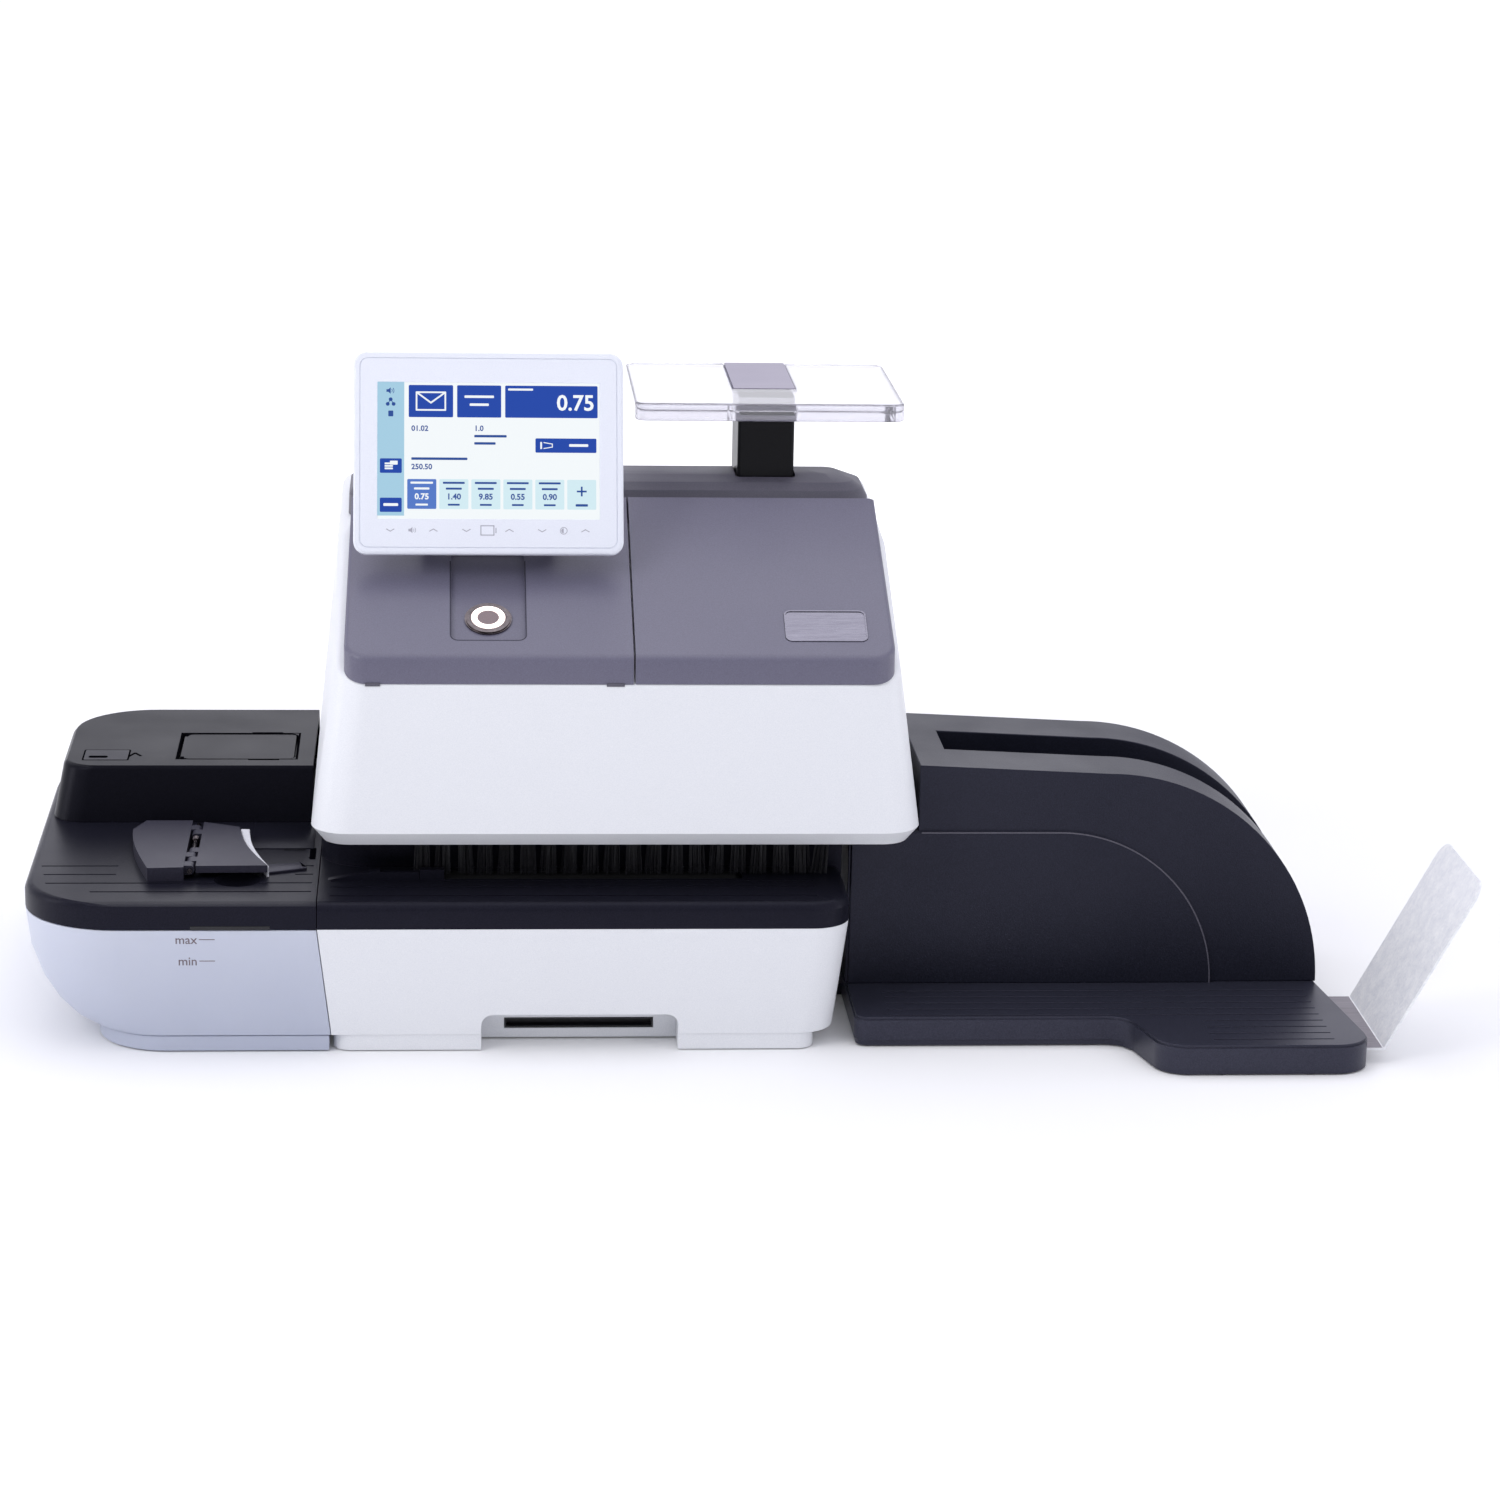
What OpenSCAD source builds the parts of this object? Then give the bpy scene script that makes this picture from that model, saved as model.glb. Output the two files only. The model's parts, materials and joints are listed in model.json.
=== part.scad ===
// Postage meter: letter sealer, print head with display and scale, and catch tray.
// Drawn with x = 0 on the base unit's centre line, y = 0 at the deck's front edge and
// z = 0 on the table, then moved so that the bounding box's bottom centre is the origin.

/* [Base unit] */
// Width of the base unit
base_w = 356; // [340:1:370]
// Depth of the machine behind the deck's front edge
base_d = 373; // [360:1:388]
// Height of the letter deck above the table
deck_h = 106; // [102:1:116]
// Thickness of the deck mouldings
deck_t = 18; // [17:1:22]
// Distance from the deck's front edge to the letter fence
fence_y = 85; // [82:1:92]
// How far the housing walls slope in from top to bottom
base_taper = 9; // [5:1:13]
// How far the front wall slopes in from top to bottom
front_taper = 7; // [3:1:9]
// Height of the housings' lower edge above the table
plinth_h = 12; // [11:0.5:16]
// Inset of the plinth behind the housings
plinth_inset = 1; // [0.5:0.5:4]
// Height of the rubber feet
foot_h = 1; // [0.8:0.1:2]
// Radius of the rubber feet
foot_r = 9; // [6:1:11]
// Wall thickness of the housings
wall = 3; // [2.4:0.1:3.6]
// Plan radius of the base unit's right front corner
corner_r = 26; // [18:1:32]
// First groove behind the deck's front edge
groove_y = 27; // [24:1:30]
// Distance between the deck's grooves
groove_step = 20; // [16:1:21]
// Width of the deck's grooves
groove_w = 1.8; // [1:0.1:2.4]
// Edge radius of the deck's front rim
deck_edge = 6; // [3:1:8]
// Offset of the grip recess from the base's centre
recess_x = -3; // [-8:0.5:4]
// Width of the grip recess under the base's front
recess_w = 132; // [110:1:160]
// Depth of the grip recess
recess_d = 32; // [24:1:40]
// Height of the grip recess above the housing's lower edge
recess_h = 14; // [12:1:18]
// Width of the dark slot in the grip recess
slot_w = 101; // [80:1:105]
// Height of the dark slot
slot_h = 7.5; // [7:0.5:8]
// Height of the dark slot's lower edge above the table
slot_z = 8; // [6:0.5:12]
// Plan radius of the letter fence's left end
fence_r = 34; // [20:1:44]

/* [Letter transport] */
// Distance between the belt's roller axes
belt_span = 200; // [160:1:220]
// Width of the transport belt
belt_w = 18; // [14:1:18]
// Outer radius of the belt over its rollers
belt_r = 8.5; // [7:0.1:8.6]
// Thickness of the belt
belt_t = 1; // [0.8:0.1:1.4]
// Radius of the roller shafts
shaft_r = 2.5; // [2:0.1:3]
// Radius of the gearmotor's body
motor_r = 16; // [12:1:17]
// Length of the gearmotor's body
motor_l = 52; // [40:1:70]
// Left end of the hold-down brush
brush_x0 = -116; // [-128:1:-93]
// Length of the hold-down brush
brush_l = 286; // [240:1:300]
// Bristle tufts along the brush
tufts = 20; // [16:1:24]
// Bristles along each tuft
tuft_strands = 5; // [3:1:5]
// Rows of bristles across the brush
brush_rows = 4; // [3:1:4]
// Thickness of one bristle
strand_t = 0.9; // [0.7:0.05:1]

/* [Print head housing] */
// Width of the print head housing at its lower edge
head_w = 410; // [400:1:430]
// Offset of the housing's centre from the base's centre
head_x = 22; // [18:1:26]
// Clear height of the letter path
letter_gap = 29.5; // [26:0.5:34]
// Setback of the housing's front behind the deck's front edge
head_y = 29; // [24:1:34]
// Height of the housing's front wall
head_front_h = 105.5; // [95:0.5:115]
// How far the front wall leans back
head_lean = 21; // [14:1:26]
// How far the left wall leans in
head_lean_left = 15; // [12:0.5:17]
// How far the right wall leans in
head_lean_right = 13; // [10:0.5:15]
// Height of the chamfer round the lower edge
head_chamfer = 10; // [7:1:13]
// Plan radius of the housing's corners
head_r = 26; // [20:1:30]
// Radius of the housing's upper front edge
head_edge = 5; // [4:0.5:7]
// Radius of the housing's upper rear corners
head_shoulder = 9; // [7:1:10]
// Slope of the covers
cover_slope = 27.5; // [25:0.5:30]
// Thickness of the covers above the housing's rim
cover_t = 16; // [15:0.5:18]
// Width of the covers
cover_w = 364; // [352:1:366]
// How much further the covers reach out at their front corners
cover_flare = 3; // [1:0.5:5]
// Seam between the covers, from the base's centre
seam_x = 33; // [31:1:36]
// Gap at the seam
seam_gap = 1.2; // [0.8:0.1:2]
// Width of the bare name plate
badge_w = 56; // [44:1:58]
// Height of the bare name plate up the slope
badge_h = 32; // [24:1:34]
// Corner radius of the bare name plate
badge_r = 5; // [3:0.5:8]
// Distance of the name plate from the lid's right edge
badge_edge = 15; // [11:1:24]
// Distance of the name plate up the slope
badge_u = 29; // [26:1:40]
// Front of the rear cover
hump_y = 212.5; // [206:0.5:218]
// Height of the rear cover above the housing
hump_h = 23.5; // [22:0.5:27]
// Radius of the lid's hinge pins
lid_pin_r = 1.5; // [1.2:0.1:1.8]

/* [Start button] */
// Radius of the button cap
button_r = 12; // [10:0.5:13]
// Width of the chrome ring round the button
button_ring = 3; // [2.5:0.5:4]
// Travel of the button
button_travel = 2; // [1:0.5:2.4]
// Button centre, from the base's centre
button_x = -64.5; // [-72:0.5:-58]
// Distance of the button up the cover's slope
button_u = 54; // [48:1:60]

/* [Display] */
// Width of the display
disp_w = 183; // [175:1:186]
// Height of the display
disp_h = 139; // [134:1:146]
// Thickness of the display
disp_t = 20; // [17:1:21]
// Lean of the display back from upright
disp_lean = 21.5; // [18:0.1:25]
// Width of the screen
screen_w = 150.8; // [145:0.2:156]
// Height of the screen
screen_h = 94.2; // [88:0.2:98]
// Margin of the bezel under the screen
screen_margin = 24; // [21:0.5:27]
// Plan radius of the display's corners
disp_r = 9; // [6:0.5:12]
// Radius of the display's hinge pin
disp_pin_r = 3; // [2.5:0.1:3.5]
// Width between the hinge ears
ear_gap = 76; // [60:1:84]
// Thickness of one hinge ear
ear_t = 8; // [6:1:10]

/* [Scale] */
// Width of the weighing plate
plate_w = 188; // [170:1:190]
// Depth of the weighing plate
plate_d = 167; // [155:1:172]
// Thickness of the weighing plate
plate_t = 12.5; // [11:0.5:14]
// Height of the plate's underside above the rear cover
plate_lift = 44.7; // [40:0.1:50]
// Plate centre, from the base's centre
plate_x = 132; // [129:0.5:135]
// Width of the plate's carrier cap
cap_w = 44; // [40:1:48]
// Depth of the plate's carrier cap
cap_d = 107; // [98:1:112]
// Depth of the post under the plate
post_d = 60; // [52:1:66]
// Setback of the post behind the rear cover's front
post_back = 23.5; // [20:0.5:28]
// Travel of the platform under load
scale_travel = 1; // [0.5:0.1:1.2]

/* [Sealer] */
// Width of the sealer
sealer_w = 197; // [185:1:215]
// Plan radius of the sealer's left corners
sealer_r = 65; // [55:1:75]
// How far the tank's left end sweeps in at the bottom
hull_sweep = 44; // [36:1:50]
// Front of the raised hood
hood_y = 195; // [190:1:205]
// Height of the raised hood above the deck
hood_h = 39; // [34:1:44]
// Depth of the water tank
tank_d = 118; // [100:1:130]
// Height of the flap guide above the deck
guide_h = 9.5; // [9:0.5:13]
// Hinge line of the flap guide, from the sealer's right end
guide_x = 86; // [82:1:92]
// Radius of the flap guide's hinge pin
guide_pin_r = 1.8; // [1.5:0.1:2]
// Width of the filler lid
fill_w = 80; // [74:1:86]
// Depth of the filler lid
fill_d = 67; // [62:1:74]
// Radius of the filler neck
neck_r = 15; // [12:1:18]
// Radius of the filler lid's hinge pin
fill_pin_r = 1.2; // [1:0.1:1.4]

/* [Catch tray] */
// Length of the tray along its back wall
tray_l = 332; // [322:1:350]
// Height of the tray floor
tray_h = 21; // [20:0.5:25]
// Reach of the front lobe before the deck's front edge
lobe_y = 49; // [42:1:56]
// Front edge of the tray's narrow part
tray_y = 12; // [8:1:18]
// Radius of the back wall's rounded end
dome_r = 150; // [140:1:158]
// Depth of the back wall
dome_d = 145; // [136:1:152]
// Width of the pocket along the back wall's top
pocket_w = 50; // [40:1:56]
// Depth of the pocket
pocket_d = 28; // [20:1:34]
// Depth of the steel letter stop
stop_d = 110; // [98:1:114]
// Height of the letter stop along its slope
stop_h = 130; // [118:1:138]
// Slope of the letter stop
stop_slope = 62; // [56:1:68]
// Thickness of the letter stop's sheet
sheet_t = 1.5; // [1:0.1:1.8]

/* [Hidden] */
$fn = 48;
// Running clearance between round fits
run = 0.05;
// Clearance between flat moving faces
gap = 0.5;
// Clearance round pins that stay put
press = 0.02;
// Thickness of the slices that hulls are drawn over
skin = 0.02;
// Margin that a cut runs past the solid
past = 1;

white = [0.90, 0.91, 0.94];
tank_grey = [0.74, 0.77, 0.83];
cover_grey = [0.42, 0.42, 0.47];
hump_grey = [0.33, 0.33, 0.37];
black = [0.10, 0.10, 0.12];
deck_black = [0.14, 0.14, 0.16];
steel = [0.78, 0.79, 0.82];

base_x = base_w / 2;
shell_z0 = plinth_h;
shell_z1 = deck_h - deck_t;
function base_half(z) = base_x - base_taper * (shell_z1 - z) / (shell_z1 - shell_z0);
function front_at(z) = front_taper * (shell_z1 - z) / (shell_z1 - shell_z0);

head_z = deck_h + letter_gap;
head_x0 = head_x - head_w / 2;
head_x1 = head_x + head_w / 2;
rim_y = head_y + head_lean;
rim_z = head_z + head_front_h;
rim_l = (hump_y - rim_y) / cos(cover_slope);
head_top = rim_z + (hump_y - rim_y) * tan(cover_slope);
cover_x0 = head_x + 2 - cover_w / 2;
cover_x1 = cover_x0 + cover_w;
cover_back_y = hump_y - 4;
cover_foot = 3;
cover_lean = 13.7;
cover_wall = 2.8;
pad_wall = 6;
lid_pin_u = rim_l - 5.6;
lid_pin_w = 9.8;
lid_lug_w = 11;
lid_bracket_w = 10;
lid_lug_inset = 24;

disp_x = button_x + 0.5;
disp_y = 118;
disp_z = rim_z + 76;
bezel_t = 6;
pivot_v = 35;
pivot_n = disp_t + 8;

plate_setback = 6;
plate_y1 = base_d - plate_setback;
plate_z = head_top + hump_h + plate_lift;
plate_y0 = plate_y1 - plate_d;
post_inset = 2;
post_y0 = hump_y + post_back;
post_foot = 12;
cell_w = 12;
cell_l = 96;
cell_reach = 82;
cell_bracket_l = 24;

x_left = -base_x - sealer_w;
seal_x = -base_x - gap;
tray_x0 = base_x + 5;
tray_x1 = tray_x0 + tray_l - 2;
dome_y = fence_y + 3;
dome_x = tray_x1 - dome_r;
dome_rise = 6;
lobe_x = dome_x - 14;
lobe_flare = 15;
stop_bend = tray_x1 + 25;
stop_z = tray_h - 12;
stop_y = -24;
x_right = stop_bend + stop_h * cos(stop_slope) + sheet_t / 2 * sin(stop_slope);
mid_x = (x_left + x_right) / 2;
inlet_lip = 0.8;
mid_y = (base_d + inlet_lip - lobe_y) / 2;

belt_y = fence_y - 18;
roller_z = deck_h - belt_r - 0.3;
brush_y = belt_y - 4;
brush_foot = 3;
hinge_x = seal_x - guide_x;
hinge_z = deck_h + guide_h - 3.4;

// Flat outlines and repeated shapes

function unit(v) = v / norm(v);

// The arc that rounds corner b between a and c with radius r
function corner_arc(a, b, c, r, steps) = r <= 0 ? [b] : let(
    u = unit(a - b),
    v = unit(c - b),
    half = acos(u * v) / 2,
    m = b + unit(u + v) * r / sin(half),
    from = b + u * r / tan(half) - m,
    side = u[0] * v[1] - u[1] * v[0] > 0 ? -1 : 1,
    start = atan2(from[1], from[0]))
    [for (i = [0 : steps]) m + r * [cos(start + side * (180 - 2 * half) * i / steps),
        sin(start + side * (180 - 2 * half) * i / steps)]];

// A closed outline from corners given as [x, y, radius]
function round_path(p, steps = 10) = [for (i = [0 : len(p) - 1])
    let(a = p[(i + len(p) - 1) % len(p)], b = p[i], c = p[(i + 1) % len(p)])
    each corner_arc([a[0], a[1]], [b[0], b[1]], [c[0], c[1]], b[2], steps)];

module rounded(x0, y0, x1, y1, r) {
    translate([x0 + r, y0]) square([x1 - x0 - 2 * r, y1 - y0]);
    translate([x0, y0 + r]) square([x1 - x0, y1 - y0 - 2 * r]);
    for (x = [x0 + r, x1 - r], y = [y0 + r, y1 - r]) translate([x, y]) circle(r);
}

// A box with round upright edges, drawn from corner to corner
module block(x0, y0, z0, x1, y1, z1, r = 0) {
    if (r > 0) translate([0, 0, z0]) linear_extrude(z1 - z0) rounded(x0, y0, x1, y1, r);
    else translate([x0, y0, z0]) cube([x1 - x0, y1 - y0, z1 - z0]);
}

// A thin rounded slice at height z, for lofts
module slice(x0, y0, x1, y1, r, z)
    translate([0, 0, z]) linear_extrude(skin) rounded(x0, y0, x1, y1, r, $fn = 32);

module soft_corner(r, e)
    rotate_extrude($fn = 32) translate([r - e, 0]) circle(e, $fn = 16);

module along_x(x0, x1, r) translate([x0, 0, 0]) rotate([0, 90, 0]) cylinder(r = r, h = x1 - x0);
module along_y(y0, y1, r) translate([0, y0, 0]) rotate([-90, 0, 0]) cylinder(r = r, h = y1 - y0);

// The covers' frame: x across, y up the slope, z square to it
module on_rim() translate([0, rim_y, rim_z]) rotate([cover_slope, 0, 0]) children();

// The display's frame: x across, y to its back, z up its face
module on_display() translate([disp_x, disp_y, disp_z]) rotate([-disp_lean, 0, 0]) children();

// A side profile drawn as (y, z), pushed out along x
module side_profile(x0, x1)
    translate([x0, 0, 0]) rotate([90, 0, 90]) linear_extrude(x1 - x0) children();

// A front profile drawn as (x, z), pushed out along y
module front_profile(y0, y1)
    translate([0, y1, 0]) rotate([90, 0, 0]) linear_extrude(y1 - y0) children();

// Base unit

module base_loft(inset, z0, z1) {
    hull() for (z = [z0, z1 - skin])
        translate([0, 0, z]) linear_extrude(skin) {
            half = base_half(z) - inset;
            front = front_at(z) + inset;
            square_front = corner_r + 1;
            translate([half - corner_r, front + corner_r]) circle(corner_r, $fn = 40);
            translate([-half, front]) square([half, square_front]);
            translate([-half, base_d - inset - 1]) square([2 * half, 1]);
        }
}

function slot_back() = recess_d + 3 * wall;
module at_recess() translate([recess_x, 0, 0]) children();

module base_housing() color(white) difference() {
    union() {
        base_loft(0, shell_z0, shell_z1);
        at_recess() block(-recess_w / 2, recess_d, foot_h + gap, recess_w / 2, recess_d + wall, shell_z0 + past);
    }
    difference() {
        base_loft(wall, shell_z0 + wall, shell_z1 + past);
        at_recess() block(-recess_w / 2 - wall, -past, 0, recess_w / 2 + wall, recess_d + wall,
            shell_z0 + recess_h + wall);
    }
    at_recess() front_profile(-past, recess_d)
        rounded(-recess_w / 2, shell_z0 - recess_h, recess_w / 2, shell_z0 + recess_h, recess_h * 0.55);
    at_recess() block(-slot_w / 2, recess_d - past, slot_z, slot_w / 2, slot_back(), slot_z + slot_h);
    inlet_cut(0.2);
    socket_cut(0.2);
}

plinth_right = 14;
function plinth_x1() = base_half(shell_z0) - plinth_right;

module base_plinth() color(white) difference() {
    left = -base_half(shell_z0) + plinth_inset;
    front = front_at(shell_z0) + plinth_inset;
    block(left, front, foot_h, plinth_x1(), base_d - plinth_inset, shell_z0, 12);
    block(left + 4 * wall, front + recess_d, 0, plinth_x1() - 4 * wall, base_d - plinth_inset - 4 * wall,
        shell_z0 + past, 6);
    at_recess() block(-recess_w / 2, 0, 0, recess_w / 2, front + recess_d + past, shell_z0 + past);
}

// Feet under the tray's lobe stand on bosses in front of the letter stop
function lobe_feet() = [dome_x + 60, tray_x1 - 30];
function lobe_foot_y() = -lobe_y + wall + foot_r - 2;

module foot_grid(xs, ys) for (x = xs, y = ys)
    translate([x, y, 0]) cylinder(r1 = foot_r - 1, r2 = foot_r, h = foot_h);

module rubber_feet() color([0.2, 0.2, 0.21]) {
    left = -base_half(shell_z0) + plinth_inset;
    front = front_at(shell_z0) + plinth_inset;
    foot_grid([left + 16, plinth_x1() - 16], [front + 16]);
    foot_grid([left + foot_r + 1, plinth_x1() - foot_r - 1], [base_d - plinth_inset - foot_r - 8]);
    foot_grid([x_left + hull_sweep + 4 + plinth_inset + foot_r + 1, -base_half(shell_z0) - plinth_inset - foot_r - 1],
        [sealer_r + 16, base_d - sealer_r - 16]);
    foot_grid([tray_x0 + 23, dome_x - 31], [tray_y + 25, dome_y + dome_d - 23]);
    foot_grid(lobe_feet(), [lobe_foot_y()]);
}

module front_slot_liner() color(black) at_recess() {
    loose = 0.2;
    liner = 1.4;
    difference() {
        block(-slot_w / 2 + loose, recess_d + 0.3, slot_z + loose, slot_w / 2 - loose, slot_back() - loose,
            slot_z + slot_h - loose);
        block(-slot_w / 2 + liner, recess_d, slot_z + liner, slot_w / 2 - liner, slot_back() - liner,
            slot_z + slot_h - liner);
    }
}

// The belt's loop seen from the front, as (x, z)
module belt_loop(r) {
    for (x = [-1, 1]) translate([x * belt_span / 2, roller_z]) circle(r);
    translate([-belt_span / 2, roller_z - r]) square([belt_span, 2 * r]);
}

module deck_plan(inset) {
    translate([base_x - corner_r, corner_r]) circle(corner_r - inset);
    translate([-base_x, inset]) square([base_w - corner_r, fence_y - inset]);
    translate([-base_x, corner_r]) square([base_w - inset, fence_y - corner_r]);
}

module transport_deck() color(deck_black) difference() {
    union() {
        translate([0, 0, shell_z1]) linear_extrude(deck_t - deck_edge) deck_plan(0);
        hull() {
            translate([0, 0, shell_z1 + deck_t - deck_edge]) linear_extrude(skin) deck_plan(0, $fn = 40);
            translate([0, 0, deck_h - deck_edge / 3]) linear_extrude(skin) deck_plan(deck_edge / 3, $fn = 40);
            translate([0, 0, deck_h - skin]) linear_extrude(skin) deck_plan(deck_edge, $fn = 40);
        }
    }
    front_profile(belt_y - belt_w / 2 - 1, belt_y + belt_w / 2 + 1) belt_loop(belt_r + 1.4);
    block(-belt_span / 2 - belt_r, belt_y - belt_w / 2 - 1, roller_z, belt_span / 2 + belt_r,
        belt_y + belt_w / 2 + 1, deck_h + past);
    block(-belt_span / 2 - belt_r - 1.4, belt_y - belt_w / 2 - 1, shell_z1 - past, belt_span / 2 + belt_r + 1.4,
        belt_y + belt_w / 2 + 1, roller_z);
    for (x = [-1, 1]) translate([x * belt_span / 2, 0, roller_z])
        along_y(belt_y - belt_w / 2 - 9, fence_y + past, shaft_r + run);
    for (i = [-0.5, 0.5, 1.2])
        block(-base_x + 8, groove_y + i * groove_step, deck_h - 1.2, base_x - corner_r + 4,
            groove_y + i * groove_step + groove_w, deck_h + past);
}

// Plan of the rear frame, with a round left end on the letter fence
module frame_plan(inset)
    polygon(round_path([[-base_x + inset, fence_y + inset, fence_r - inset], [base_x - inset, fence_y + inset, 0],
        [base_x - inset, base_d - gap - inset, 0], [-base_x + inset, base_d - gap - inset, 0]], 16));

module rear_frame() color(black) difference() {
    union() {
        block(-base_x, fence_y, shell_z1, base_x, base_d - gap, deck_h);
        translate([0, 0, deck_h]) linear_extrude(letter_gap) frame_plan(0);
    }
    translate([0, 0, shell_z1 - past]) linear_extrude(deck_t + letter_gap + 2 * past) frame_plan(4);
    translate([belt_span / 2, 0, roller_z]) along_y(fence_y - past, fence_y + 5, shaft_r + 1);
}

module transport_belt() color([0.13, 0.13, 0.14])
    front_profile(belt_y - belt_w / 2, belt_y + belt_w / 2) difference() {
        belt_loop(belt_r);
        belt_loop(belt_r - belt_t);
    }

module belt_roller(x, tail) color(steel) translate([x, 0, roller_z]) {
    along_y(belt_y - belt_w / 2, belt_y + belt_w / 2, belt_r - belt_t - 0.3);
    along_y(belt_y - belt_w / 2 - 8, tail, shaft_r);
}

module drive_roller() belt_roller(belt_span / 2, fence_y + 12);
module idler_roller() belt_roller(-belt_span / 2, fence_y - 1);

module gearmotor() color([0.45, 0.46, 0.48]) difference() {
    front = fence_y + 4;
    plate = motor_r + 2;
    union() {
        translate([belt_span / 2, 0, roller_z]) along_y(front + 3, front + 3 + motor_l, motor_r);
        block(belt_span / 2 - plate, front, roller_z - motor_r, belt_span / 2 + plate, front + 3, roller_z + motor_r);
    }
    translate([belt_span / 2, 0, roller_z]) along_y(front - past, front + 10, shaft_r + run);
}

// The brush: rows of slim strands that fan out of a common slice of backing
function tuft_pitch() = brush_l / tufts;
function strand_x(t, s) = brush_x0 + (t + 0.5) * tuft_pitch() + (s - (tuft_strands - 1) / 2) * strand_t * 1.7;
function strand_tip(t, s) = strand_x(t, s) + (s - (tuft_strands - 1) / 2) * strand_t * 0.9 + lean_of(t);
function lean_of(t) = t > tufts - 2 ? -4 : 0.9 * sin(t * 137);

module strand_row(shift) {
    for (t = [0 : tufts - 1], s = [0 : tuft_strands - 1]) {
        top = strand_x(t, s) + shift;
        tip = strand_tip(t, s) + shift;
        foot = deck_h + 0.7 + 0.8 * (1 + sin(61 * t + 83 * s + 40 * shift));
        polygon([[top, head_z - brush_foot], [tip, foot], [tip + strand_t, foot],
            [top + strand_t, head_z - brush_foot]]);
    }
}

module brush_bristles() color([0.16, 0.16, 0.17]) {
    row_step = strand_t * 1.8;
    depth = (brush_rows - 1) * row_step + strand_t;
    for (i = [0 : brush_rows - 1])
        front_profile(brush_y + i * row_step, brush_y + i * row_step + strand_t)
            strand_row((i % 2) * strand_t * 0.8);
    block(brush_x0, brush_y, head_z - brush_foot - 0.1, brush_x0 + brush_l, brush_y + depth, head_z - brush_foot + 1);
}

module brush_holder() color([0.55, 0.56, 0.58]) {
    depth = (brush_rows - 1) * strand_t * 1.8 + strand_t;
    block(brush_x0, brush_y - 1.2, head_z - brush_foot + 1, brush_x0 + brush_l, brush_y + depth + 1.2, head_z);
}

// Wedge that lifts the letter's edge on to the belt, and the sensor behind it
guide_x0 = -base_x + 6;
guide_run = 61;

module entry_guide() color([0.2, 0.2, 0.22]) front_profile(belt_y - 13, belt_y - 7)
    polygon([[guide_x0, deck_h], [guide_x0 + 35, deck_h + 7], [guide_x0 + 35, deck_h + 5.5],
        [guide_x0 + guide_run, deck_h + 5.5], [guide_x0 + guide_run, deck_h]]);

module letter_sensor() color([0.27, 0.27, 0.29])
    block(guide_x0 + guide_run + gap, belt_y - 13, deck_h, guide_x0 + guide_run + 17, belt_y - 6, deck_h + 7);

// Print head housing

// The housing's loft: a chamfered foot, a leaning front and softened upper edges
module head_loft(i) difference() {
    left_top = head_x0 + head_lean_left + i;
    right_top = head_x1 - head_lean_right - i;
    r = head_r - i;
    e = max(head_edge - i, 2);
    s = max(head_shoulder - i, 2);
    hull() {
        slice(head_x0 + head_chamfer * 0.8 + i, head_y + head_chamfer * 0.9 + i,
            head_x1 - head_chamfer * 0.8 - i, base_d - 4 - i, r * 0.7, head_z);
        slice(head_x0 + i, head_y + i, head_x1 - i, base_d - i, r, head_z + head_chamfer);
        for (x = [left_top + r, right_top - r]) {
            on_rim() translate([x, r + i, -i - e]) soft_corner(r, e);
            on_rim() translate([x, rim_l - r, -i - s]) soft_corner(r, s);
            translate([x, base_d - i - r, head_top - i - s]) soft_corner(r, s);
        }
    }
    on_rim() block(-base_w * 2, -base_d, -i - skin, base_w * 2, base_d * 2, base_d);
}

// The covers' outline on the slope, drawn in by inset and started at front
module cover_plan(inset, front, back) {
    r = 15 - min(inset, 8);
    polygon(round_path([[cover_x0 - cover_flare + inset, front + inset, r],
        [cover_x1 + cover_flare - inset, front + inset, r],
        [cover_x1 - inset, back, 0], [cover_x0 + inset, back, 0]]));
}

module cover_loft(inset, t, back) on_rim() hull() {
    linear_extrude(skin) cover_plan(inset, cover_foot, back);
    translate([0, 0, t - 3]) linear_extrude(skin) cover_plan(inset, cover_lean - 2, back);
    translate([0, 0, t - skin]) linear_extrude(skin) cover_plan(inset + 3, cover_lean - 1, back);
}

// Everything behind the covers' back edge, with that edge broken
module behind_covers(back) {
    side_profile(-base_w * 2, base_w * 2) polygon([[back, 0], [back, head_top + 11], [back - 5, head_top + 13.6],
        [back - 5, head_top * 2], [back + base_d, head_top * 2], [back + base_d, 0]]);
}

module cover_shell(t, inner, x0, x1) difference() {
    cover_loft(0, t, rim_l + 12);
    translate([0, 0, -0.1]) cover_loft(inner, t - inner, (cover_back_y - inner - rim_y) / cos(cover_slope));
    behind_covers(cover_back_y);
    block(-base_w * 3, 0, 0, x0, base_d, head_top * 2);
    block(x1, 0, 0, base_w * 3, base_d, head_top * 2);
}

module head_opening(x0, x1) on_rim() translate([0, 0, -3 * wall])
    linear_extrude(3 * wall + past) rounded(x0, 22, x1, rim_l - 18, 8);

// Upright vents in the back wall
vents = 16;
vent_step = 14;
vent_w = 5;
vent_h = 40;
vent_z = 90;
vent_x0 = head_x - (vents * vent_step - vent_w) / 2;

module head_housing() color(white) difference() {
    head_loft(0);
    difference() {
        head_loft(wall);
        block(-base_w * 2, 0, 0, base_w * 2, hump_y + past, head_z - skin);
    }
    translate([0, 0, -past]) linear_extrude(head_z + past + skin)
        rounded(head_x0 + head_chamfer * 0.8 + wall, head_y + head_chamfer * 0.9 + wall,
            head_x1 - head_chamfer * 0.8 - wall, base_d - 4 - wall, head_r * 0.5);
    head_opening(cover_x0 + 16, seam_x - 8);
    head_opening(seam_x + 8, cover_x1 - 14);
    for (i = [0 : vents - 1])
        block(vent_x0 + i * vent_step, base_d - 2 * wall, head_z + vent_z, vent_x0 + i * vent_step + vent_w,
            base_d + past, head_z + vent_z + vent_h);
}

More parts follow.
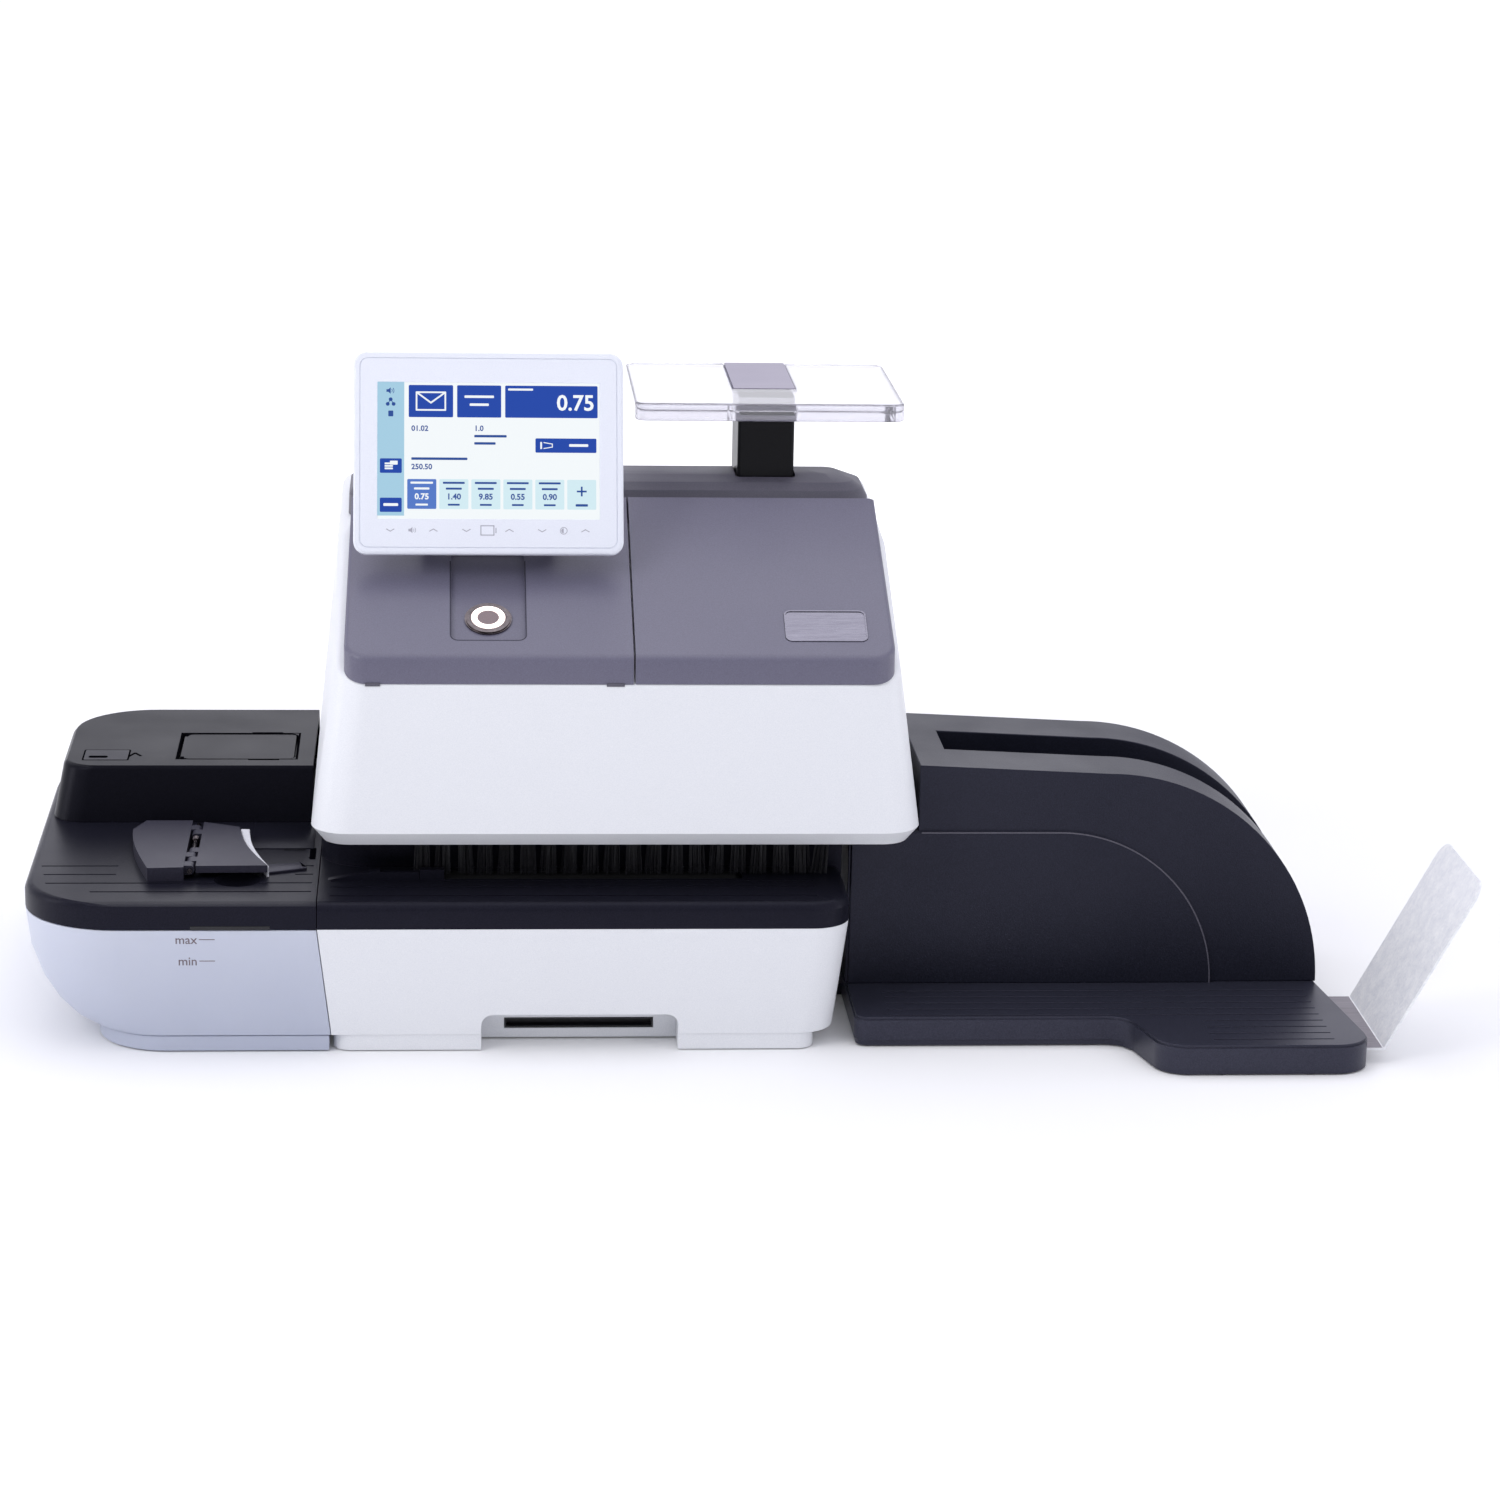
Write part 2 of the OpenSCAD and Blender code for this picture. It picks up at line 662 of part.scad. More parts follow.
module head_floor() color(black) difference() {
    union() {
        block(head_x0 + head_chamfer * 0.8 + wall + 0.4, head_y + head_chamfer * 0.9 + wall + 0.4, head_z,
            head_x1 - head_chamfer * 0.8 - wall - 0.4, base_d - 4 - wall - 0.4, head_z + 4,
            (head_r - wall) * 0.7 + 0.5);
        for (x = board_xs(), y = board_ys())
            translate([x, y, head_z + 4]) cylinder(r = 3.5, h = 6);
    }
    block(holder_x0() + 4, belt_y + 3.5, head_z - past, holder_x0() + holder_w - 4, belt_y + 17.5, head_z + 5);
}

function board_xs() = [head_x0 + 40, seam_x - 22];
function board_ys() = [hump_y + 22, base_d - 30];
function holder_x0() = seam_x + 50;
holder_w = 86;
holder_front = 19;
holder_back = 62;
holder_h = 40;

module main_board() color([0.10, 0.32, 0.18]) {
    x0 = board_xs()[0] - 8;
    x1 = board_xs()[1] + 8;
    block(x0, board_ys()[0] - 8, head_z + 10, x1, board_ys()[1] + 8, head_z + 11.6);
    block(x0 + 30, board_ys()[0] + 10, head_z + 11.6, x0 + 62, board_ys()[0] + 42, head_z + 16);
    block(x1 - 40, board_ys()[0] + 4, head_z + 11.6, x1 - 12, board_ys()[1] - 6, head_z + 21);
}

module power_supply() color([0.62, 0.63, 0.65])
    block(seam_x + 30, hump_y + 18, head_z + 4, head_x1 - 30, base_d - 26, head_z + 44, 3);

// Two pockets that hold the ink cartridges over the letter's top edge
module cartridge_holder() color([0.18, 0.18, 0.20]) difference() {
    x0 = holder_x0();
    block(x0, belt_y - holder_front, head_z + 4, x0 + holder_w, belt_y + holder_back, head_z + 4 + holder_h, 4);
    for (i = [0, 1])
        block(x0 + 5 + i * 40, belt_y - holder_front + 5, head_z + 3, x0 + 41 + i * 40, belt_y + holder_back - 5,
            head_z + 5 + holder_h);
}

module ink_cartridges() color([0.13, 0.13, 0.16]) for (i = [0, 1]) {
    x0 = holder_x0() + 5.3 + i * 40;
    side_profile(x0, x0 + 35.4) polygon([[belt_y - 13.7, head_z + 4], [belt_y - 13.7, head_z + 60],
        [belt_y - 4, head_z + 74], [belt_y + 56.7, head_z + 74], [belt_y + 56.7, head_z + 4],
        [belt_y + 16.5, head_z + 4], [belt_y + 16.5, head_z - 7],
        [belt_y + 4.5, head_z - 7], [belt_y + 4.5, head_z + 4]]);
}

module trough_cut() on_rim() translate([0, 0, cover_t - 3])
    linear_extrude(4) rounded(button_x - 25, button_u - 24, button_x + 25, button_u + 70, 5);

module control_cover() color(cover_grey) difference() {
    cover_shell(cover_t, pad_wall, -base_w * 2, seam_x - seam_gap / 2);
    trough_cut();
    on_rim() translate([button_x, button_u, 0]) cylinder(r = button_r + button_ring + run, h = cover_t + past);
}

module lid_bracket(x0) on_rim() side_profile(x0, x0 + lid_bracket_w) difference() {
    union() {
        translate([lid_pin_u, lid_pin_w]) circle(3);
        translate([lid_pin_u - 3, 0]) square([6, lid_pin_w]);
    }
    translate([lid_pin_u, lid_pin_w]) circle(lid_pin_r + press);
}

// Left faces of the two hinge brackets
function bracket_xs() = [seam_x + lid_lug_inset + lid_lug_w + 0.6,
    cover_x1 - lid_lug_inset - lid_lug_w - lid_bracket_w - 0.6];
// Left faces of the two lugs on the lid
function lug_xs() = [seam_x + lid_lug_inset, cover_x1 - lid_lug_inset - lid_lug_w];

module lid_hinge_brackets() color(black) for (x = bracket_xs()) lid_bracket(x);

module lid_hinge_pins() color(steel) on_rim() for (i = [0, 1])
    translate([0, lid_pin_u, lid_pin_w])
        along_x(min(bracket_xs()[i], lug_xs()[i]) + 1,
            max(bracket_xs()[i] + lid_bracket_w, lug_xs()[i] + lid_lug_w) - 1, lid_pin_r);

module cartridge_lid() color(cover_grey) difference() {
    union() {
        translate([0, 0, 0.3]) cover_shell(cover_t - 0.3, cover_wall, seam_x + seam_gap / 2, base_w * 2);
        on_rim() for (x = lug_xs()) translate([x, lid_pin_u - 4, 3]) cube([lid_lug_w, 6.4, cover_t - 4.5]);
    }
    on_rim() for (x = bracket_xs())
        translate([x - 0.6, lid_pin_u - 8, -past])
            cube([lid_bracket_w + 1.2, 24, lid_pin_w + 3.6 + past]);
    on_rim() translate([0, lid_pin_u, lid_pin_w]) for (x = lug_xs())
        along_x(x - past, x + lid_lug_w + past, lid_pin_r + run);
    name_plate_cut();
}

// The bare name plate sits in a shallow pocket of the lid; its face is dished inside a rim
module on_badge(z) on_rim() translate([cover_x1 - badge_edge - badge_w, badge_u, z]) children();

module name_plate_cut() on_badge(cover_t - 1) linear_extrude(2) rounded(0, 0, badge_w, badge_h, badge_r);

module name_plate() color(steel) difference() {
    loose = 0.15;
    rim = 1.2;
    on_badge(cover_t - 1 + press) linear_extrude(1.5)
        rounded(loose, loose, badge_w - loose, badge_h - loose, badge_r - loose);
    on_badge(cover_t) linear_extrude(2) rounded(rim, rim, badge_w - rim, badge_h - rim, badge_r - rim);
}

// The rear cover: a low hump over the scale's load cell, with a crest behind its front
// What stands on the housing's top is trimmed to it from this far below
seat_deep = 5;
crest_back = 27.5;
crest_d = 28;

module hump_loft(i) {
    x0 = head_x0 + head_lean_left + 7 + i;
    x1 = head_x1 - head_lean_right - 9 - i;
    y0 = hump_y + i;
    y1 = base_d - 3 - i;
    crest = y0 + crest_back;
    fall = y1 - crest - crest_d;
    top = head_top + hump_h - i;
    hull() {
        slice(x0, y0, x1, y1, 24 - i, head_top - seat_deep);
        slice(x0 + 0.5, y0 + 1, x1 - 0.5, y1 - fall * 0.46, 24 - i, top - hump_h * 0.62);
        slice(x0 + 4, y0 + 5, x1 - 4, y1 - fall * 0.82, 20 - i, top - hump_h * 0.32);
        slice(x0 + 11, y0 + 12.5, x1 - 11, y1 - fall, 14 - i, top - hump_h * 0.13);
        slice(x0 + 21, crest, x1 - 21, crest + crest_d - 2 * i, 10 - i, top - skin);
    }
}

module post_plan(grow) {
    rounded(plate_x - cap_w / 2 + post_inset - grow, post_y0 - grow,
        plate_x + cap_w / 2 - post_inset + grow, post_y0 + post_d + grow, 3);
}

module rear_cover() color(hump_grey) difference() {
    hump_loft(0);
    translate([0, 0, -skin]) hump_loft(wall);
    head_loft(0);
    translate([0, 0, head_top - seat_deep]) linear_extrude(hump_h + seat_deep + past) post_plan(1.2);
}

// Scale

function cell_y() = post_y0 + post_d / 2;
function cell_z() = head_top + 5 + scale_travel;

module load_cell_bracket() color(steel) difference() {
    x0 = plate_x - cell_reach - 2;
    x1 = x0 + cell_bracket_l;
    block(x0, cell_y() - cell_w / 2 - 3.2, head_top - seat_deep, x1, cell_y() + cell_w / 2 + 3.2, head_top + 15);
    head_loft(0);
    block(x0 - past, cell_y() - cell_w / 2 - 0.2, head_top + 3, x1 + past, cell_y() + cell_w / 2 + 0.2, head_top + 16);
}

module load_cell() color([0.80, 0.81, 0.83]) difference() {
    x0 = plate_x - cell_reach;
    block(x0, cell_y() - cell_w / 2, cell_z(), x0 + cell_l, cell_y() + cell_w / 2, cell_z() + cell_w);
    for (x = [x0 + 34, x0 + 46])
        translate([x, 0, cell_z() + cell_w / 2]) along_y(cell_y() - cell_w, cell_y() + cell_w, 4);
}

// The post straddles the load cell's free end
module scale_post() color(black) difference() {
    translate([0, 0, head_top + post_foot]) linear_extrude(plate_z - head_top - post_foot) post_plan(0);
    block(plate_x - cap_w, cell_y() - cell_w / 2 - 0.2, head_top, plate_x - cell_reach + cell_l + 0.2,
        cell_y() + cell_w / 2 + 0.2, cell_z() + cell_w);
}

module plate_cap() color([0.62, 0.61, 0.68])
    block(plate_x - cap_w / 2 + 0.2, plate_y1 - cap_d + 0.2, plate_z, plate_x + cap_w / 2 - 0.2, plate_y1,
        plate_z + plate_t + 0.3, 1.5);

module weighing_plate() color([0.93, 0.94, 0.97, 0.45]) difference() {
    block(plate_x - plate_w / 2, plate_y0, plate_z, plate_x + plate_w / 2, plate_y1, plate_z + plate_t, 8);
    block(plate_x - cap_w / 2, plate_y1 - cap_d, plate_z - past, plate_x + cap_w / 2, plate_y1 + past,
        plate_z + plate_t + past);
}

// Start button

module on_button() on_rim() translate([button_x, button_u, 0]) children();

module button_bezel() color(steel) on_button() difference() {
    union() {
        translate([0, 0, 4]) cylinder(r = button_r + button_ring, h = cover_t - 5);
        translate([0, 0, cover_t - 3]) cylinder(r = button_r + button_ring + 0.9, h = 1.2);
    }
    translate([0, 0, 3]) cylinder(r = button_r + 0.2, h = cover_t);
}

module start_button() color([0.60, 0.55, 0.57]) on_button() difference() {
    translate([0, 0, 9]) cylinder(r = button_r, h = cover_t - 10);
    translate([0, 0, cover_t - 2]) difference() {
        cylinder(r = button_r - 0.6, h = 2);
        translate([0, 0, -past]) cylinder(r = button_r - 4.6, h = 4);
    }
}

module button_light_ring() color([1, 0.95, 0.92]) on_button() translate([0, 0, cover_t - 2]) difference() {
    cylinder(r = button_r - 0.6, h = 1.3);
    translate([0, 0, -past]) cylinder(r = button_r - 4.6, h = 4);
}

module button_switch() color(black) on_button() {
    cylinder(r = button_r + button_ring, h = 4);
    translate([0, 0, 4]) cylinder(r = 4, h = 5 - button_travel - 0.4);
}

// Display

// The hinge axis in the covers' frame, as (up the slope, square to it)
function pivot_y() = disp_y + pivot_v * sin(disp_lean) + pivot_n * cos(disp_lean);
function pivot_z() = disp_z + pivot_v * cos(disp_lean) - pivot_n * sin(disp_lean);
function pivot_u() = (pivot_y() - rim_y) * cos(cover_slope) + (pivot_z() - rim_z) * sin(cover_slope);
function pivot_w() = -(pivot_y() - rim_y) * sin(cover_slope) + (pivot_z() - rim_z) * cos(cover_slope);

module display_neck() color(hump_grey) on_rim() {
    ear_r = disp_pin_r + 4;
    for (x = [disp_x - ear_gap / 2 - ear_t, disp_x + ear_gap / 2])
        side_profile(x, x + ear_t) difference() {
            union() {
                translate([pivot_u(), pivot_w()]) circle(ear_r);
                translate([pivot_u() - ear_r, cover_t]) square([2 * ear_r, pivot_w() - cover_t]);
            }
            translate([pivot_u(), pivot_w()]) circle(disp_pin_r + press);
        }
    translate([disp_x - ear_gap / 2, pivot_u() - ear_r, cover_t]) cube([ear_gap, 2 * ear_r, 4]);
}

module display_hinge_pin() color(steel) translate([0, pivot_y(), pivot_z()])
    along_x(disp_x - ear_gap / 2 - ear_t, disp_x + ear_gap / 2 + ear_t, disp_pin_r);

// A display slice in its own frame, at depth n and drawn in by inset
module disp_slice(n, inset) translate([0, n, 0]) rotate([90, 0, 0]) translate([0, 0, -skin]) linear_extrude(skin)
    rounded(-disp_w / 2 + inset, inset, disp_w / 2 - inset, disp_h - inset, disp_r, $fn = 32);

module display_back() color(white) on_display() difference() {
    union() {
        hull() {
            disp_slice(bezel_t, 0);
            disp_slice(disp_t * 0.55, 1.5);
            disp_slice(disp_t - skin, 14);
        }
        side_profile(-ear_gap / 2 + 0.6, ear_gap / 2 - 0.6) {
            translate([pivot_n, pivot_v]) circle(disp_pin_r + 4);
            translate([disp_t - 2, pivot_v - disp_pin_r - 4]) square([pivot_n - disp_t + 2, 2 * disp_pin_r + 8]);
        }
    }
    translate([-disp_w / 2 + wall, bezel_t - past, wall]) cube([disp_w - 2 * wall, past + 2.5, disp_h - 2 * wall]);
    translate([0, pivot_n, pivot_v]) along_x(-ear_gap, ear_gap, disp_pin_r + run);
}

module display_bezel() color(white) on_display() difference() {
    union() {
        translate([0, bezel_t, 0]) rotate([90, 0, 0]) linear_extrude(bezel_t - 1.5)
            rounded(-disp_w / 2, 0, disp_w / 2, disp_h, disp_r);
        hull() {
            disp_slice(1.5, 0);
            disp_slice(0, 1.5);
        }
    }
    translate([-screen_w / 2, -past, screen_margin]) cube([screen_w, bezel_t + 2 * past, screen_h]);
    translate([0, 0.6, 0]) rotate([90, 0, 0]) linear_extrude(2) difference() {
        rounded(-disp_w / 2 + 4, 4, disp_w / 2 - 4, disp_h - 4, disp_r - 3);
        rounded(-disp_w / 2 + 4.7, 4.7, disp_w / 2 - 4.7, disp_h - 4.7, disp_r - 3.7);
    }
}

module display_screen() color([0.93, 0.96, 0.98]) on_display()
    translate([-screen_w / 2 + 0.2, 0.8, screen_margin + 0.2]) cube([screen_w - 0.4, bezel_t - 0.8, screen_h - 0.4]);

// Sealer

// Plan of the sealer at height z, swept in to the left and bottom like a boat's stern
module sealer_plan(z, sweep, inset = 0, steps = 14) {
    right = -base_half(min(z, shell_z1)) - gap - inset;
    left = x_left + sweep + inset;
    front = front_at(min(z, shell_z1)) + inset;
    r = sealer_r - inset - 0.35 * sweep;
    polygon(round_path([[right, front, 0], [right, base_d - inset, 0], [left, base_d - inset, r],
        [left, front, r]], steps));
}

// The sweep follows a quarter circle from the deck down to the plinth
function sweep_at(k) = hull_sweep * (1 - sqrt(1 - k * k * 0.97)) / (1 - sqrt(0.03));

module sealer_loft(inset, z0) hull() for (k = [0, 0.35, 0.6, 0.8, 0.92, 1]) {
    z = shell_z1 - (shell_z1 - z0) * k;
    translate([0, 0, z - (k == 0 ? skin : 0)]) linear_extrude(skin) sealer_plan(z, sweep_at(k), inset, 10);
}

module water_tank() color(tank_grey) difference() {
    intersection() {
        sealer_loft(0, shell_z0);
        block(x_left - past, -past, 0, 0, tank_d, shell_z1 - gap);
    }
    intersection() {
        translate([0, 0, wall]) sealer_loft(wall, shell_z0);
        block(x_left - past, -past, 0, 0, tank_d - wall, deck_h);
    }
}

module sealer_chassis() color(tank_grey) difference() {
    intersection() {
        sealer_loft(0, shell_z0);
        block(x_left - past, tank_d + gap, 0, 0, base_d + past, shell_z1 + past);
    }
    block(x_left + hull_sweep + 16, tank_d + 4 * gap + wall, shell_z0 + wall, -base_half(shell_z0) - 14,
        base_d - 8 * wall, shell_z1 + past, 8);
}

module sealer_plinth() color(tank_grey) translate([0, 0, foot_h]) linear_extrude(shell_z0 - foot_h - gap) difference() {
    sealer_plan(shell_z0, hull_sweep + 4, plinth_inset);
    translate([x_left + hull_sweep + 30, 30]) square([sealer_w - hull_sweep - 46, base_d - 60]);
}

module deck_hull(z0, z1, edge) hull() {
    translate([0, 0, z0]) linear_extrude(skin) sealer_plan(shell_z1, 0);
    translate([0, 0, z1 - edge]) linear_extrude(skin) sealer_plan(shell_z1, 0);
    translate([0, 0, z1 - edge / 3]) linear_extrude(skin) sealer_plan(shell_z1, edge / 3, 0);
    translate([0, 0, z1 - skin]) linear_extrude(skin) intersection() {
        sealer_plan(shell_z1, edge, 0);
        translate([x_left, edge]) square([sealer_w, base_d - edge]);
    }
}

// Finger scoop under the flap guide's front edge
function scoop_x() = hinge_x + 32;

module sealer_deck() color(deck_black) difference() {
    deck_hull(shell_z1, deck_h, deck_edge);
    for (i = [0 : 3]) {
        y = groove_y + i * groove_step;
        block(x_left + (i == 0 ? 46 : 18 - 3 * i), y, deck_h - 1.2, i < 2 ? seal_x - 4 : hinge_x - 50,
            y + groove_w, deck_h + past);
    }
    for (i = [2 : 4]) block(seal_x - 24 + 4 * i, groove_y + i * groove_step, deck_h - 1.2, seal_x - 4,
        groove_y + i * groove_step + groove_w, deck_h + past);
    translate([scoop_x(), scoop_y, deck_h + 12]) sphere(r = 20);
    translate([0, 0, deck_h - felt_deep]) linear_extrude(felt_deep + past) felt_pad_plan(0.3);
    translate([fill_x() + fill_w / 2 + 8, fill_y() + fill_d / 2, shell_z1 - past]) cylinder(r = neck_r - 3, h = deck_t + 2 * past);
}

module hood_plan(inset) {
    left = x_left + 6 + inset;
    right = head_x0 - 3;
    back = base_d - 2 - inset;
    polygon(round_path([[right, hood_y + inset, 0], [right, back, 0], [left, back, sealer_r - inset],
        [left, hood_y + inset, 22]], 12));
}

module hood_loft(i) hull() {
    top = deck_h + hood_h - i;
    translate([0, 0, deck_h]) linear_extrude(skin) hood_plan(i);
    translate([0, 0, top - 3]) linear_extrude(skin) hood_plan(7 + i);
    translate([0, 0, top - skin]) linear_extrude(skin) hood_plan(9.5 + i);
}

fill_margin = 14.5;
fill_back = 29;
function fill_x() = head_x0 - 3 - fill_margin - fill_w;
function fill_y() = hood_y + fill_back;
function fill_pin_x() = fill_x() + 2.4;

module sealer_hood() color(deck_black) difference() {
    hood_loft(0);
    translate([0, 0, -skin]) difference() {
        hood_loft(wall);
        block(fill_x() - 6, fill_y() - 6, deck_h + hood_h - 12, fill_x() + fill_w + 6, fill_y() + fill_d + 6,
            deck_h + hood_h);
    }
    block(fill_x() - 1.5, fill_y() - 1.5, deck_h + hood_h - 5, fill_x() + fill_w + 1.5, fill_y() + fill_d + 1.5,
        deck_h + hood_h + past, 7);
    block(fill_x() + fill_w * 0.6, fill_y() - 5, deck_h + hood_h - 5, fill_x() + fill_w - 10, fill_y() + fill_d + 5,
        deck_h + hood_h + past);
    block(fill_x() - 2.6, fill_y() - 1.5, deck_h + hood_h - 8, fill_x() + 8, fill_y() + fill_d + 1.5, deck_h + hood_h + past);
    translate([fill_pin_x(), 0, deck_h + hood_h - 3.5])
        along_y(fill_y() - 4, fill_y() + fill_d + 4, fill_pin_r + press);
    translate([fill_x() + fill_w / 2 + 8, fill_y() + fill_d / 2, deck_h + hood_h - 14]) cylinder(r = neck_r, h = 20);
}

module filler_lid() color(black) difference() {
    top = deck_h + hood_h;
    union() {
        block(fill_x() + 2.4, fill_y(), top - 3.5, fill_x() + fill_w, fill_y() + fill_d, top - 0.4, 5);
        block(fill_x(), fill_y() + 6, top - 3.5, fill_x() + fill_w / 2, fill_y() + fill_d - 6, top - 0.4);
        translate([fill_pin_x(), 0, top - 3.5]) along_y(fill_y() + 6, fill_y() + fill_d - 6, fill_pin_r + 1);
    }
    translate([fill_pin_x(), 0, top - 3.5]) along_y(fill_y() - past, fill_y() + fill_d + past, fill_pin_r + run);
}

module filler_hinge_pin() color(steel) translate([fill_pin_x(), 0, deck_h + hood_h - 3.5])
    along_y(fill_y() - 3.8, fill_y() + fill_d + 3.8, fill_pin_r);

// Flap guide: a fixed plough and a flap that lifts on interleaved knuckles

scoop_y = 55;
felt_y0 = 60;
felt_y1 = 150;
felt_pad_y = 73;
felt_deep = 6;
felt_side = 2;
felt_turn = 3;
guide_y0 = 53;
guide_y1 = 167;
knuckle = 11;

// Knuckle ends along the hinge, alternately on the plough and the flap
function knuckle_y(i) = guide_y0 + 4 + i * knuckle;

module knuckle_barrel(i) translate([hinge_x, 0, hinge_z])
    along_y(knuckle_y(i) + 0.3, knuckle_y(i) + knuckle - 0.3, 3.2);

module plough_plan() polygon(concat(
    [[hinge_x - 4, guide_y0], [hinge_x - 28, guide_y0 - 2]],
    [for (a = [10 : 10 : 70]) [hinge_x - 28 - 16 * sin(a * 1.2), guide_y0 - 2 + 94 * a / 70]],
    [[hinge_x - 36, guide_y1], [hinge_x - 4, guide_y1]]));

module flap_plough() color([0.20, 0.20, 0.23]) difference() {
    union() {
        translate([0, 0, deck_h]) linear_extrude(guide_h) plough_plan();
        for (i = [0, 2, 8]) intersection() {
            union() {
                knuckle_barrel(i);
                block(hinge_x - 5, knuckle_y(i) + 0.3, deck_h + guide_h - 6.6, hinge_x,
                    knuckle_y(i) + knuckle - 0.3, deck_h + guide_h - 0.2);
            }
            block(hinge_x - 5, 0, deck_h, hinge_x + 5, base_d, deck_h + guide_h);
        }
    }
    translate([hinge_x, 0, hinge_z]) along_y(guide_y0 - past, guide_y1 + past, guide_pin_r + press);
    for (i = [1, 3, 7]) translate([hinge_x, 0, hinge_z])
        along_y(knuckle_y(i) - 0.3, knuckle_y(i) + knuckle + 0.3, 4.2);
}

module flap_plan() polygon(concat(
    [[hinge_x + 4, guide_y0 + 3]],
    [for (k = [0 : 0.125 : 1]) [hinge_x + 52 - 23 * k - 4 * sin(180 * k), guide_y0 + 4 + 94 * k]],
    [[hinge_x + 4, guide_y1 - 4]]));

module flap_guide() color([0.20, 0.20, 0.23]) difference() {
    union() {
        translate([0, 0, deck_h + 4.6]) linear_extrude(guide_h - 4.6) flap_plan();
        for (i = [1, 3, 7]) {
            knuckle_barrel(i);
            block(hinge_x, knuckle_y(i) + 0.3, hinge_z - 1, hinge_x + 6, knuckle_y(i) + knuckle - 0.3, deck_h + guide_h - 0.2);
        }
    }
    translate([hinge_x, 0, hinge_z]) along_y(guide_y0 - past, guide_y1 + past, guide_pin_r + run);
    for (i = [0, 2, 8]) translate([hinge_x, 0, hinge_z])
        along_y(knuckle_y(i) - 0.3, knuckle_y(i) + knuckle + 0.3, 5.2);
    translate([0, 0, deck_h + 2]) linear_extrude(guide_h - 4.6) offset(delta = -4) flap_plan();
}

module flap_hinge_pin() color(steel) translate([hinge_x, 0, hinge_z])
    along_y(guide_y0 + 0.5, guide_y1 - 0.5, guide_pin_r);

// The felt's outline: the flap's, moved out past its free edge and further at the rear
module felt_plan(grow) translate([hinge_x + 52 + felt_side + grow, guide_y0 + 4, 0]) rotate(-felt_turn)
    translate([-hinge_x - 52, -guide_y0 - 4, 0]) flap_plan();

// The pad that dips into the deck's window
module felt_pad_plan(grow) intersection() {
    felt_plan(grow);
    translate([hinge_x + 16 - grow, felt_pad_y - grow])
        square([base_w, felt_y1 - felt_pad_y + 2 * grow]);
}

module moistener_felt() color([0.86, 0.87, 0.90]) {
    translate([0, 0, deck_h - felt_deep]) linear_extrude(felt_deep - gap) felt_pad_plan(0);
    translate([0, 0, deck_h - 2 * gap]) linear_extrude(guide_h - 1.2 + 2 * gap) difference() {
        felt_pad_plan(0);
        offset(delta = 0.6) flap_plan();
    }
    translate([0, 0, deck_h]) linear_extrude(guide_h - 1.2) difference() {
        intersection() {
            felt_plan(0);
            translate([hinge_x + 16, felt_y0]) square([base_w, felt_pad_y - felt_y0 + gap]);
        }
        offset(delta = 0.6) flap_plan();
    }
}

// Catch tray

// Front outline of the tray's back wall, as (x, z), drawn in by inset
module dome_profile(inset) {
    notch_x = head_x1 + 4;
    notch_z = head_z - 5;
    translate([dome_x, tray_h]) intersection() {
        circle(dome_r - inset, $fn = 96);
        square(dome_r);
    }
    polygon([[tray_x0 + inset, tray_h], [dome_x, tray_h], [dome_x, tray_h + dome_r - inset],
        [notch_x + inset, tray_h + dome_r + dome_rise - inset], [notch_x + inset, notch_z - inset],
        [tray_x0 + inset, notch_z - inset]]);
}

module dome_panel() {
    r = dome_r - 41;
    x0 = tray_x0 + 2;
    translate([dome_x - 34, tray_h]) intersection() {
        circle(r, $fn = 96);
        square(r);
    }
    translate([x0, tray_h]) square([dome_x - 34 - x0, min(r, head_z - 5.2 - tray_h)]);
}

module pocket_band(y0, y1, deep, from_x) front_profile(y0, y1) difference() {
    dome_profile(-past);
    dome_profile(deep);
    square([from_x, head_z * 4]);
    square([base_w * 4, tray_h + 34 - deep]);
}

module tray_wall() color(deck_black) difference() {
    pocket_y = dome_y + (dome_d - pocket_w) / 2;
    pocket_x = head_x1 + 26;
    union() {
        front_profile(dome_y, dome_y + dome_d) dome_profile(0);
        front_profile(dome_y - 2, dome_y + past) dome_panel();
    }
    difference() {
        front_profile(dome_y + wall, dome_y + dome_d - wall) translate([0, -skin]) dome_profile(wall);
        pocket_band(pocket_y - wall, pocket_y + pocket_w + wall, pocket_d + wall, pocket_x - wall);
    }
    pocket_band(pocket_y, pocket_y + pocket_w, pocket_d, pocket_x);
}

// Plan of the tray floor: a narrow part, and a lobe that reaches out to the front
module tray_plan(inset) {
    back = dome_y + dome_d - inset;
    slant = 0.77 * inset;
    polygon(round_path([[tray_x0 + inset, tray_y + inset, 9 - inset], [lobe_x + 19 + slant, tray_y + inset, 20 + inset],
        [lobe_x + 35 + slant, inset - lobe_y, 22 - inset], [tray_x1 + lobe_flare - inset, inset - lobe_y, 24 - inset],
        [tray_x1 - inset, dome_y, 0], [tray_x1 - inset, back, 9 - inset], [tray_x0 + inset, back, 9 - inset]], 12));
}

